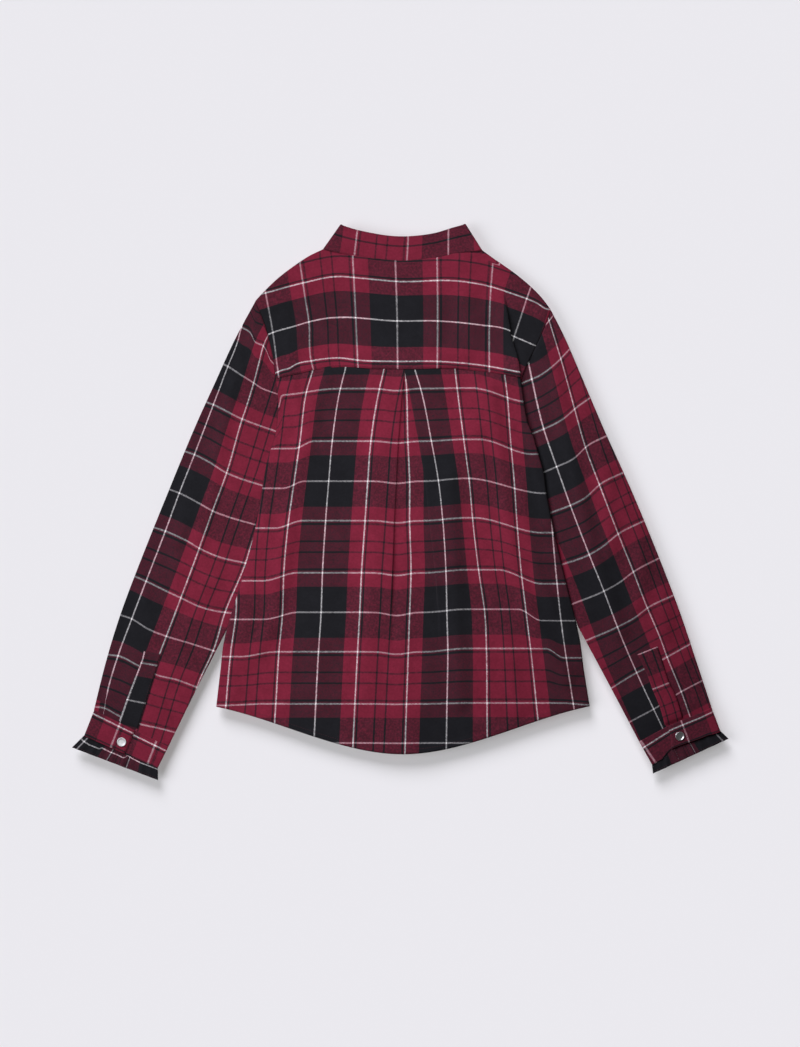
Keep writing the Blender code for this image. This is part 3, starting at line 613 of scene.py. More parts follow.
def makeFlannel(name):
    material = bpy.data.materials.new(name)
    nodes = Nodes(material)
    uv = nodes.new("ShaderNodeUVMap", uv_map="plaid")
    spot = nodes.new("ShaderNodeTexCoord").outputs["Object"]
    split = nodes.new("ShaderNodeSeparateXYZ")
    nodes.link(uv.outputs[0], split.inputs[0])
    noise = look["noise"]
    shift = nodes.new("ShaderNodeSeparateColor")
    nodes.link(nodes.noise(spot, *noise["stray"], "Color"), shift.inputs[0])
    yarns = []
    for axis, yarn in enumerate(("warp", "weft")):
        strayed = nodes.swayed(shift.outputs[axis], look["stray"], split.outputs[axis])
        yarns.append(yarnRamp(nodes, nodes.math("PINGPONG", strayed, 0.5 * sett["repeat"]), yarn))
    # two over, two under, each row a thread further on
    endNumber = nodes.math("DIVIDE", split.outputs[0], look["thread"])
    pickNumber = nodes.math("DIVIDE", split.outputs[1], look["thread"])
    step = nodes.math("ADD", nodes.math("FLOOR", endNumber), nodes.math("FLOOR", pickNumber))
    over = nodes.math("LESS_THAN", nodes.math("FLOORED_MODULO", step, 4.0), 2.0)
    fluff = nodes.noise(spot, *noise["fluff"])
    mottle = nodes.noise(spot, *noise["mottle"])
    share = nodes.swayed(over, look["twill"], look["warpShare"])
    share = nodes.swayed(fluff, 0.5, share)
    share = nodes.swayed(mottle, look["heather"], share)
    share = nodes.math("MINIMUM", nodes.math("MAXIMUM", share, 0.0), 1.0)
    warp, weft = yarns
    nap = nodes.math("ADD", mottle, nodes.noise(spot, *noise["nap"]))
    tone = nodes.math("MULTIPLY_ADD", nodes.math("SUBTRACT", nap, 1.0), 2.2 * look["nap"], 1.0)
    toned = nodes.new("ShaderNodeVectorMath", operation="SCALE")
    nodes.link(nodes.blend(share, weft, warp), toned.inputs[0])
    nodes.link(tone, toned.inputs["Scale"])
    gamma = nodes.new("ShaderNodeGamma")
    gamma.inputs["Gamma"].default_value = 2.2
    nodes.link(toned.outputs[0], gamma.inputs[0])
    nodes.link(gamma.outputs[0], nodes.shader.inputs["Base Color"])
    # height of the threads, and the brushed nap over them
    roundEnd = nodes.math("SINE", nodes.math("MULTIPLY", endNumber, math.tau))
    roundPick = nodes.math("SINE", nodes.math("MULTIPLY", pickNumber, math.tau))
    thread = nodes.math("ADD", nodes.math("MULTIPLY", over, 0.5),
                        nodes.math("MULTIPLY", nodes.math("ADD", roundEnd, roundPick), 0.12))
    height = nodes.math("ADD", nodes.math("MULTIPLY", thread, 0.45), nodes.math("MULTIPLY", fluff, 0.9))
    nodes.bump(height, *look["bump"])
    weight, roughness, tint = look["sheen"]
    nodes.surface(Roughness=0.92, Specular_IOR_Level=0.08, Sheen_Weight=weight,
                  Sheen_Roughness=roughness, Sheen_Tint=tint)
    return material


flannel = makeFlannel("brushedPlaidFlannel")
print("flannel made")

# back panel: x of the white warp lines from -2 to 6, one row for each height y
backWarps = (
    (148.5, -153, -98, -62, -18.5, 5.5, 16.5, 61.5, 116.5, 155.5),
    (127, -159, -104.5, -67.5, -23.5, 7, 23, 64, 119.5, 158.5),
    (68.5, -167, -112.5, -76.5, -33, 8.5, 35, 71.5, 124, 163),
    (23.5, -173.5, -119, -80.5, -36.5, 10.5, 43, 77.5, 128, 167),
    (-21.5, -180, -125.5, -84, -39.5, 10.5, 48, 81.5, 131, 170),
    (-80, -184, -131, -87.5, -43.5, 12, 51.5, 88.5, 136, 175),
    (-124, -184.5, -132.5, -89, -45.5, 10.5, 52.5, 95, 141.5, 179.5),
    (-169, -190.5, -136.5, -92, -48, 9, 53.5, 97, 147, 185.5),
    (-227, -196, -140, -95, -51, 7, 52.5, 97.5, 153, 194.5),
    (-290, -202, -144, -98, -54, 5, 51.5, 98, 159.5, 204),
)
# white weft lines: number, level, and how they bend: drop, place and run of the slope at the
# left, dip over the pleat, lift before the right fold, and that fold's place, run and drop
backWefts = (
    (-2, 127.5, 7.6, -104, 36, 2.5, 0.6, 112, 32, 15),
    (-1, 68.4, 8.4, -108, 11, 2.2, 2, 118, 30, 14.6),
    (0, 23.4, 8, -119.5, 12, 2.5, 3.2, 118, 43, 13.5),
    (1, -21, 8.4, -125, 15, 2.5, 3.2, 121, 38, 13.5),
    (2, -79.6, 9, -135, 19, 3, 3.4, 134.7, 25, 12.4),
    (3, -124, 8, -134, 20, 3.7, 3.4, 146, 13, 9.5),
    (4, -168.4, 5.4, -160, 20, 2.8, 3.7, 174, 10, 6.8),
    (5, -227, 1.7, -175, 22, 0.5, 1, 197, 17, 1.1),
    (6, -271, 0, -175, 22, 0.3, 0, 197, 17, 0),
)


def backDown(p):
    x = p[:, 0]
    places = []
    for _, level, leftDrop, leftX, leftRun, dip, lift, rightX, rightRun, rightDrop in backWefts:
        left = leftDrop * (1.0 - ease((x - leftX + leftRun) / (2.0 * leftRun)))
        middle = dip * np.exp(-((x + 4.0) / 15.0) ** 2)
        right = (rightDrop + lift) * ease((x - rightX + rightRun) / (2.0 * rightRun))
        raised = lift * ease((x - 28.0) / 45.0)
        places.append(left + middle + right - raised - level)
    return plaidBetween([row[0] for row in backWefts], places, -p[:, 1])


def backWarpPlaces(y):
    table = np.array(backWarps)[::-1]
    return {n: smooth(table[:, 0], table[:, n + 3], y) for n in range(-2, 7)}


backPanel = {"field": 72, "underlay": 14, "rows": 200, "roll": 1.6, "tuck": 2.0, "hem": 6.0,
             "hemRise": 0.45}


def makeBack():
    rows, roll, underlay = backPanel["rows"], backPanel["roll"], backPanel["underlay"]
    t = np.arange(rows + 1) / rows
    left, right = along(side["left"], t), along(side["right"], t)
    rightIn, rightLift = (np.array(body[key]) for key in ("rightIn", "rightLift"))
    rightX = right[:, 0] - np.interp(right[:, 1], rightIn[:, 0], rightIn[:, 1])
    middle = len(yokeSeam) // 2
    drop = t * (yokeSeam[middle, 1] - hemLine[middle, 1])
    steps = foldSteps(np.radians(pleatValue(drop, 4)), pleatValue(drop, 3))
    height = sum(z for _, z in steps)
    starts = (pleatValue(drop, 1) - pleat["radius"], pleatValue(drop, 2) + pleat["radius"])
    paths = []
    for start, way in zip(starts, (1.0, -1.0)):
        path = [(start, height)]
        for across, down in steps:
            path.append((path[-1][0] + way * across, path[-1][1] - down))
        paths.append(path)

    # each column: x in every row, height over the floor (none where it follows the pleat's rise),
    # part, and share of the fold
    rolls = [(roll * (1.0 - math.cos(math.pi / 2 - turn)), -roll * (1.0 - math.cos(turn)))
             for turn in rollTurns]
    field = np.linspace(0.0, 1.0, backPanel["field"] + 1)[:-1]
    folds = [[(x, z, part, k / len(steps)) for k, (x, z) in enumerate(path)]
             for path, part in zip(paths, ("leftFold", "rightFold"))]
    columns = [(left[:, 0] + near, low, "left", 0.0) for near, low in rolls]
    columns += [(mix(left[:, 0] + roll, starts[0], f), None, "left", 0.0) for f in field]
    columns += folds[0]
    columns += [(mix(paths[0][-1][0], paths[1][-1][0], k / underlay), 0.0, "under", 0.0)
                for k in range(1, underlay)]
    columns += folds[1][::-1]
    columns += [(mix(rightX - roll, starts[1], f), None, "right", 0.0) for f in field[::-1]]
    columns += [(rightX - near, low, "right", 0.0) for near, low in rolls[::-1]]
    x = np.stack([c[0] for c in columns], axis=1)
    follows = np.array([c[1] is None for c in columns])
    level = np.stack([np.broadcast_to(0.0 if c[1] is None else c[1], rows + 1) for c in columns], axis=1)
    parts = np.array([c[2] for c in columns])
    shares = np.array([c[3] for c in columns])

    def place(column, row):
        tt = t[row]
        px = x[row, column]
        q = (px - left[row, 0]) / (right[row, 0] - left[row, 0])
        p = backPoint(q, tt)
        seamShift = (np.interp(px, sewnSeam[:, 0], sewnSeam[:, 1])
                     - np.interp(px, yokeSeam[:, 0], yokeSeam[:, 1]))
        p[:, 1] += seamShift * (1.0 - ease(tt / 0.14))
        inner = p.copy()
        # under the rolls the height is that of the cloth just inside them
        inner[:, 0] = np.clip(px, left[row, 0] + roll, rightX[row] - roll)
        z = backFloor(inner, body["creases"])
        z += (np.interp(p[:, 1], rightLift[:, 0], rightLift[:, 1])
              * (1.0 - ease((rightX[row] - roll - inner[:, 0]) / 12.0)))
        z += backPanel["hemRise"] * (1.0 - ease((awayFrom(p, hemLine) - backPanel["hem"]) / 0.9))
        z = z + np.where(follows[column], pleatRise(p), level[row, column]) + 0.5 * layers["wall"]
        # cloth coordinates
        lines = backWarpPlaces(p[:, 1])
        leftNumbers, rightNumbers = (-2, -1, 0, 1), (3, 4, 5, 6)
        outerLeft = plaidBetween(leftNumbers, [lines[n] for n in leftNumbers], p[:, 0])
        outerRight = plaidBetween(rightNumbers, [lines[n] for n in rightNumbers], p[:, 0])
        outerRight = np.where(p[:, 0] < lines[3], whiteLine(3) - (lines[3] - p[:, 0]), outerRight)
        part, share = parts[column], shares[column]
        folded = []
        for number, start, path in zip((1, 3), starts, paths):
            folded.append(mix(whiteLine(number) + start[row] - lines[number],
                              whiteLine(2) + path[-1][0][row] - lines[2], share))
        u = np.select([part == "left", part == "leftFold", part == "under", part == "rightFold"],
                      [outerLeft, folded[0], whiteLine(2) + p[:, 0] - lines[2], folded[1]], outerRight)
        v = backDown(p)
        curlY, curlHalf, carried, curlRun = body["curl"]
        curled = ease(1.6 * (1.0 - np.abs(p[:, 1] - curlY) / curlHalf))
        v -= carried * curled * (1.0 - ease((p[:, 0] - left[row, 0]) / curlRun))
        # the top edge is tucked under the yoke
        top = row == 0
        p[top, 1] += backPanel["tuck"]
        z[top] -= 0.2
        v[top] -= backPanel["tuck"]
        return np.column_stack([p, z]), np.column_stack([u, v])

    return clothPiece("backPanel", len(columns) - 1, rows, place)


back = makeBack()

yokeWarps = {
    -3: ((-150, 227.3), (-143.2, 190.7), (-137.6, 148.5)),
    -2: ((-113, 270), (-106.6, 227.3), (-102.7, 202.5), (-100.5, 159.8), (-97.7, 148.5)),
    -1: ((-53.5, 275.5), (-50.5, 216), (-47.5, 148.5)),
    0: ((-5.5, 270), (-3.5, 205), (-3, 148.5)),
    1: ((41.5, 273.5), (42, 205), (41.5, 148.5)),
    2: ((104.5, 272), (101.7, 238.5), (100.1, 197.5), (100.1, 147)),
    3: ((147, 243), (145.4, 215), (145.4, 144)),
}
yokeWefts = {
    -1: ((-151.5, 235), (-110.5, 246), (-70, 253.5), (-44, 251.5), (-5, 248), (68.5, 248), (102, 242),
         (117.7, 237), (142.2, 228.5)),
    0: ((-148.3, 188.4), (-142.7, 190.7), (-119.6, 197.4), (-102.7, 202.5), (-79.1, 207), (-66.5, 207.6),
        (-5, 203.5), (41.5, 203.5), (89.7, 199), (119.7, 194), (123.2, 192.5)),
    1: ((-139.8, 145.1), (-132, 148.5), (-126.3, 149.6), (-116.2, 155.3), (-100.5, 158.6), (-70, 162),
        (-43.5, 159), (-5, 158), (41.5, 158), (89.7, 154), (134.2, 146)),
}
yoke = {
    "left": 84,
    "right": 24,
    "rows": 64,
    "roll": 1.6,
    "overlap": 0.8,
    "tuck": 1.3,
    "overArmhole": 0.1,    # how far its sides lap over the armholes
}
# a fold runs from the right shoulder down to the armhole's end; past it the yoke lies lower
yokeFold = {
    "path": ((110.5, 262), (114.5, 238), (117.3, 221.5), (120.9, 205.5), (122.8, 192.5), (126.4, 178.5),
             (130.6, 164.5), (133.4, 151.5), (134.4, 141)),
    "lip": 0.9,            # how far it stands up there, and the yoke beyond it sinks
    # height, turn in degrees, depth folded under
    "depth": ((243, 0, 1), (228, 20, 1), (214, 80, 1.4), (200, 140, 2.4), (186, 175, 3.6), (165, 180, 4.4),
              (141, 180, 4.8)),
    "spread": 20,
    "warp": ((145.7, 238.5), (142.2, 228.5), (137.7, 214.5), (128.1, 186), (122, 168), (113, 141)),
    "wefts": {
        -1: ((117.7, 237), (142.2, 228.5), (154.7, 223), (163.1, 217.5), (169.6, 216.5)),
        0: ((118, 190), (126.7, 186.5), (152.2, 175.5), (165, 170)),
        1: ((118, 146), (150, 133)),
    },
}


def makeYoke():
    inset = 0.5 * layers["wall"] - yoke["overArmhole"]
    left = np.vstack([shoulder["left"], movedIn(armhole["left"], inset)[1:]])
    right = np.vstack([shoulder["right"], movedIn(armhole["right"], -inset)[1:]])
    top = smoothLine(outline["neckSeam"]) - (0.0, 0.15)
    bottom = sewnSeam + (0.0, 0.15)
    left[-1], right[-1] = bottom[0], bottom[-1]
    top[0], top[-1] = left[0], right[0]
    sheet = coons(top, bottom, left, right)
    roll, rows = yoke["roll"], yoke["rows"]
    t = np.arange(rows + 1) / rows
    a, b = sheet(np.zeros(rows + 1), t), sheet(np.ones(rows + 1), t)
    width = np.hypot(*(b - a).T)
    edge = roll / width
    path = smoothLine(yokeFold["path"], 5)[::-1]
    tries = np.linspace(0.5, 0.994, 180)
    foldAt = np.empty(rows + 1)
    for k in range(rows + 1):
        spots = sheet(tries, np.full(len(tries), t[k]))
        beyond = spots[:, 0] > np.interp(spots[:, 1], path[:, 1], path[:, 0])
        foldAt[k] = tries[beyond.argmax()] if beyond.any() else tries[-1]
    foldY = sheet(foldAt, t)[:, 1]
    depths = np.array(yokeFold["depth"])[::-1]
    turn = np.radians(np.interp(foldY, depths[:, 0], depths[:, 1]))
    steps = foldSteps(turn, np.interp(foldY, depths[:, 0], depths[:, 2]))
    height = sum(z for _, z in steps)
    room = 1.0 + 1.8 * np.maximum(sum(across for across, _ in steps), 0.0)
    start = np.minimum(foldAt - pleat["radius"] / width, 1.0 - room / width)

    # each column: its place in the row, how far it has come down, the part and the share of the fold
    # or the turn of the roll
    reach, down = start, np.zeros(rows + 1)
    columns = [(edge, down, "leftRoll", turned) for turned in rollTurns]
    columns += [(mix(edge, start, f), down, "left", 0.0) for f in np.linspace(0.0, 1.0, yoke["left"])]
    for k, (across, fall) in enumerate(steps):
        reach, down = reach + across / width, down + fall
        columns.append((reach, down, "fold", (k + 1) / len(steps)))
    final = np.minimum(reach, 1.0 - edge - 1.5 / width)
    columns += [(mix(final, 1.0 - edge, f), height, "right", 1.0)
                for f in np.linspace(0.0, 1.0, yoke["right"])[1:]]
    columns += [(1.0 - edge, height, "rightRoll", turned) for turned in rollTurns[::-1]]
    shares, falls = (np.stack([c[k] for c in columns], axis=1) for k in (0, 1))
    parts, extra = (np.array([c[k] for c in columns]) for k in (2, 3))
    warpRight = np.array(yokeFold["warp"])[::-1]

    def place(column, row):
        s, part = shares[row, column], parts[column]
        p = sheet(s, t[row])
        floor = backFloor(p, body["yokeCreases"]) + pleatRise(p)
        away = (start[row] - s) * width[row]
        raised = height[row] * (1.0 - ease(np.maximum(away, 0.0) / yokeFold["spread"]))
        share = np.select([part == "fold", np.isin(part, ("right", "rightRoll"))], [extra[column], 1.0], 0.0)
        near = 1.0 - ease(np.maximum(away, 0.0) / 5.0)
        beyond = 1.0 - ease(np.maximum(s - final[row], 0.0) * width[row] / 3.0)
        tight = yokeFold["lip"] * ease(turn[row] / math.pi)
        z = floor + raised - falls[row, column] + tight * (near * (1.0 - share) - 0.9 * beyond * share)
        turned = np.where(np.isin(part, ("leftRoll", "rightRoll")), extra[column], 0.0)
        out = (b - a)[row] / width[row][:, None] * np.where(part == "leftRoll", -1.0, 1.0)[:, None]
        q = p + out * (roll * np.sin(turned))[:, None]
        z = z - roll * (1.0 - np.cos(turned))
        z += yoke["overlap"] * (1.0 - ease(awayFrom(p, bottom) / 9.0)) + 0.5 * layers["wall"]
        uLeft, vLeft = plaidAcross(q, yokeWarps), plaidDown(q, yokeWefts)
        uRight = whiteLine(3) + q[:, 0] - smooth(warpRight[:, 1], warpRight[:, 0], q[:, 1])
        vRight = plaidDown(q, yokeFold["wefts"])
        plaid = np.column_stack([mix(uLeft, uRight, share), mix(vLeft, vRight, share)])
        tucked = np.where(row == 0, ease(np.minimum(s, 1.0 - s) / 0.06), 0.0)   # under the collar
        q[:, 1] += yoke["tuck"] * tucked
        plaid[:, 1] -= yoke["tuck"] * tucked
        return np.column_stack([q, z - 0.7 * tucked]), plaid

    return clothPiece("backYoke", len(columns) - 1, rows, place, crosswise=True)


yokePiece = makeYoke()

collar = {
    "wall": 1.2,
    "roll": 2.5,
    "sink": 1.1,
    "columns": 120,
    "rows": 18,
    "under": 40,
    "firstUnder": 0.07,    # how far along the hidden part its first column lies
    "warps": {-3: ((-92, 312), (-100, 270)), -2: ((-47.5, 312), (-52.5, 270)),
              -1: ((9.8, 312), (7.3, 270)), 0: ((54.2, 312), (53.9, 270)),
              1: ((98, 312), (99, 270))},
    "weftAtTop": -78.5,
    "height": 29,
    "underPlaid": (160, 100),       # where the plaid of the hidden part begins, and its run
}


def makeCollar():
    seam = smoothLine(outline["neckSeam"])
    top = smoothLine(((-67.4, 312.0), (-48.4, 306.0), (-16.5, 299.9), (9.0, 298.8), (36.7, 302.0),
                      (58.0, 308.2), (73.6, 312.6)))
    under = {}
    for k, way in (("left", 1.0), ("right", -1.0)):
        under[k] = (smoothLine(outline["frontCollar"][k]),
                    movedIn(smoothLine(outline["frontNeck"][k]), way * 0.75 * layers["gap"]))
    parts = np.linspace(0.0, 1.0, collar["under"] + 1)
    parts = np.concatenate([[collar["firstUnder"]], parts[parts >= collar["firstUnder"]]])
    ring = [("left", "under", f) for f in parts[::-1]]
    ring += [("left", "fold", turn) for turn in standTurns[::-1]]
    ring += [("middle", "back", f) for f in np.linspace(0.02, 0.98, collar["columns"])]
    ring += [("right", "fold", turn) for turn in standTurns]
    ring += [("right", "under", f) for f in parts]
    rows = collar["rows"]

    def at(where, part, f, row):
        t = row / rows
        share = np.full(len(t), f)
        way = -1.0 if where == "left" else 1.0
        extra = 0.0
        if part == "back":
            p = mix(along(top, share), along(seam, share), t[:, None])
            z = 2.0 * collar["roll"] - collar["sink"] * ease(min(f, 1.0 - f) / 0.2) * t
        elif part == "fold":
            end = 0 if where == "left" else -1
            p = mix(top[end], seam[end], 0.992 * t[:, None])
            p[:, 0] -= way * collar["roll"] * (1.0 - math.cos(f))
            z = np.full(len(t), collar["roll"] * (1.0 + math.sin(f)))
            extra = way * collar["roll"] * (math.pi / 2 - f)
        else:
            edge, neck = under[where]
            p = mix(along(edge, share), along(neck, share), t[:, None])
            if f == 1.0:
                p[:, 0] = layers["centreX"] + way * layers["gap"]
            z = frontFloor(p)
            begin, run = collar["underPlaid"]
            extra = way * begin + run * f
        across = (p[:, 0] if part == "under" else plaidAcross(p, collar["warps"])) + extra
        down = collar["weftAtTop"] + collar["height"] * t
        return np.column_stack([p, z]), np.column_stack([across, down])

    return clothPiece("collarBand", len(ring) - 1, rows, byColumn(ring, at), collar["wall"], -1.0,
                      crosswise=True)


collarPiece = makeCollar()

sleeve = {
    "upper": 66,
    "lower": 24,
    "rows": 170,
    "crown": 2,
    "ripple": 0.35,
    "rise": {"edge": (1, 34), "body": (5, 30), "armhole": (-8, 20), "cuff": (1, 18)},
    "creases": (
        (((-184, 150), (-197, 90), (-206, 40), (-214, 0), (-226, -44)), 8, 2.5),
        (((-232, 40), (-240, 0), (-246, -40)), 9, 1.5),
        (((-250, -30), (-250, -70), (-244, -110)), 9, 1.6),
        (((-290, -80), (-286, -120), (-280, -150)), 10, 1.6),
        (((-222, -96), (-232, -130), (-246, -160)), 8, 1.5),
        (((-318, -176), (-326, -200), (-330, -222)), 7, 0.8),
        (((-168, 190), (-160, 160), (-152, 132)), 6, 1.5),
        (((-180, 176), (-181, 160), (-176, 142)), 3.5, 1.3),
        (((-176, 150), (-166, 120), (-156, 100)), 5, 1.2),
        (((172, 150), (182, 96), (194, 40), (206, -14), (224, -76), (248, -146)), 9, 2.6),
        (((232, 60), (234, 0), (236, -60)), 10, 1.6),
        (((272, -40), (272, -80), (266, -116)), 9, 1.4),
        (((304, -90), (300, -124), (296, -150)), 10, 1.4),
        (((322, -176), (330, -200), (336, -222)), 7, 0.8),
        (((160, 150), (158, 110), (164, 70)), 6, 1),
    ),
    # beside the body's right edge the cloth sinks: reach and run, and how deep at each height
    "sink": (3.4, 3, ((-110, 0), (-50, 0.8), (136, 0.8), (146, 0))),
    # above the left cuff a tuck draws the plaid in: heights between which it begins, and the plaid
    # before and after
    "tuck": ((-214, -225), (-112, -12, -5, -2.5, -0.4, 0.4, 20, 220),
             (-134, -34, -28, -6, -3.4, 3.4, 20, 220)),
}
cuff = {
    "columns": (44, 30),   # of each end that laps, and of the part underneath
    "rows": 24,
    "wall": 1.3,
    "ply": 1.4,
    "margin": {"left": 3.2, "right": 4.2},   # how far it laps over the sleeve's end
    "overlap": {"left": 0.55, "right": 0.60},
    "lapSlant": {"left": 0, "right": 0.15},
    "underlap": 0.20,
    "bend": {"left": 0, "right": 2.2},       # how far the upper edge stands up where the ends lap
    # from the outer end along the cuff, how far its lower edge stands up
    "waist": {"left": ((0, 0), (1, 0)),
              "right": ((0, 0), (0.05, 0.4), (0.15, 2.3), (0.30, 3.2), (0.45, 5), (0.57, 6.3),
                        (0.68, 6.8), (0.76, 4.6), (0.86, 0.5), (1, 0))},
    "pressed": 0.9,        # how far the lapping end is pressed down at its rim
    # below the margin, the white line that runs along the cuff
    "lineAt": {"left": {"top": 0.9, "upper": 2.5}, "right": {"top": 0.9, "upper": 1.6}},
    # from the outer end along the cuff in mm, and the plaid there, on both ends that lap
    "plaid": {
        "left": {"top": ((0, 18.5), (12.5, 28.7), (31.6, 44.4), (52.9, 62)),
                 "upper": ((37, 13), (58.1, 28.7), (79.2, 44.4), (92.7, 54.5))},
        "right": {"top": ((0, -36.6), (93, 56.4)), "upper": ((50, -26), (88.5, 0), (95, 5), (110, 20))},
    },
    "slant": {"left": 0, "right": 6},        # how far the plaid of the end beneath leans
    "droop": {"left": 0, "right": 2.3},      # and how far its line falls towards the inner edge
}
cuffCorners = {
    "left": ((-345.4, -237), (-262.1, -277.9), (-355.6, -263), (-273, -299.8)),
    "right": ((351.5, -234.9), (270.8, -273.4), (360.3, -258.1), (283.4, -295.9)),
}
sleeveWarps = {
    "left": {
        0: ((-173, 212), (-178.7, 196.3), (-182.6, 180.8), (-193.8, 152.4), (-208, 115), (-232, 52),
            (-248.5, 10), (-264.5, -33.5), (-286, -89.5), (-302, -131.5), (-317.5, -173), (-328.5, -210),
            (-333.5, -236)),
        1: ((-145, 193), (-148.5, 187.8), (-154.1, 175.7), (-158.1, 160.2), (-164.9, 133.9), (-170.6, 114.8),
            (-178.5, 91), (-195, 33.5), (-211, -10), (-226, -52), (-246.5, -107.5), (-263, -151),
            (-270.5, -170.5), (-293, -241)),
        2: ((-113, 115), (-154.5, -9), (-168, -49.5), (-174, -68.5), (-197, -124), (-210.5, -167.5),
            (-225.5, -200), (-240, -245)),
    },
    "right": {
        -1: ((80, 137), (147, -13.5), (178, -82), (213.5, -178), (244, -247.5)),
        0: ((132.5, 205), (144, 158.5), (148, 139.5), (161.5, 82), (176, 39.5), (191, -3), (212.5, -59.5),
            (229, -100.5), (245, -143), (269.5, -200), (294.5, -253)),
        1: ((167.5, 203.5), (180.5, 161), (196, 104.5), (208, 62), (224, 19), (245, -36), (262, -78.5),
            (274, -110), (293, -155), (299.5, -173), (316, -213.5), (325, -239)),
        2: ((213.5, 188), (236, 120.5), (264, 41.5), (305.5, -65), (337, -155), (362, -223)),
    },
}
sleeveWefts = {
    "left": {
        -4: ((-177.9, 196.3), (-166.4, 186.5), (-164.6, 182), (-159.6, 178), (-154.1, 175.7), (-150.5, 170),
             (-146.5, 160), (-142.5, 155.5)),
        -3: ((-197.2, 154.1), (-193.9, 152.4), (-180, 143.3), (-164.9, 133.9), (-156.7, 128.3),
             (-142.5, 123.1)),
        -2: ((-218.5, 112.5), (-210.5, 109.5), (-180.5, 94.5), (-155.5, 85), (-141, 80)),
        -1: ((-241, 56.5), (-232, 53.5), (-216, 45.5), (-196, 33), (-176, 25), (-153.5, 18)),
        0: ((-259, 14), (-248.5, 10), (-223.5, -3), (-211, -10), (-191, -17.5), (-163, -25.5)),
        1: ((-277.5, -28.5), (-265, -32.5), (-238.5, -44.5), (-226, -52), (-206, -61), (-173.5, -69)),
        2: ((-298, -84), (-286, -89), (-263.5, -100), (-246.5, -108), (-226, -117.5), (-208.5, -122.5),
            (-189.5, -125)),
        3: ((-313.5, -127.5), (-302, -131.5), (-284, -142.5), (-263, -151), (-241, -157.5),
            (-209.5, -167.5)),
        4: ((-327, -172), (-317.5, -173), (-293.5, -184.5), (-273.5, -194.5), (-251, -200), (-230, -208)),
        5: ((-342.5, -230.5), (-334, -231.5), (-316.5, -240.5), (-295, -249), (-271, -254.5), (-254, -259)),
    },
    "right": {
        -3: ((140, 184), (158, 194), (165.7, 202), (171.7, 209.5)),
        -2: ((139, 134.5), (159, 143.5), (178.5, 159), (190.5, 172)),
        -1: ((150, 77.5), (162.5, 82.5), (184, 94), (198, 106), (213.5, 117)),
        0: ((161.5, 33.5), (176.5, 40), (196.5, 50), (209, 62), (232.5, 74.5)),
        1: ((169.5, -12), (192, -3.5), (209, 5.5), (223.5, 19), (250.5, 33)),
        2: ((183, -70), (211, -60), (227, -50.5), (245, -36), (273.5, -21.5)),
        3: ((193, -115), (228.5, -100.5), (245, -91.5), (263, -78), (290.5, -63.5)),
        4: ((206, -157), (245, -140), (263, -130.5), (279, -118.5), (307, -105)),
        5: ((236.5, -210), (263, -193.5), (272.5, -188.5), (295, -177), (327.5, -159)),
        6: ((258, -247.5), (291.5, -229), (310.5, -216.5), (341.5, -200)),
    },
}


def sleeveTop(p, k):
    away = {
        "edge": np.minimum(awayFrom(p, sleeveEdges[k][0]), awayFrom(p, sleeveEdges[k][1])),
        "body": awayFromRegion(p, hidden[k]),
        "armhole": awayFrom(p, armhole[k]),
        "cuff": awayFrom(p, np.array(cuffCorners[k][:2])),
    }
    rise = {end: ease((away[end] - start) / run) for end, (start, run) in sleeve["rise"].items()}
    relief = creaseRise(p, sleeve["creases"]) + sleeve["ripple"] * (1.0 + ripple(p, 36.0, 9))
    free = rise["body"] * rise["armhole"] * rise["cuff"]
    reach, run, depths = sleeve["sink"]
    heights, depths = np.array(depths).T
    sunk = np.interp(p[:, 1], heights, depths) * (1.0 - ease((away["body"] - reach) / run))
    swell = sleeve["crown"] * rise["edge"] + relief * ease(away["edge"] / layers["creaseFade"])
    return sleeveThick - (sunk if k == "right" else 0.0) + free * swell


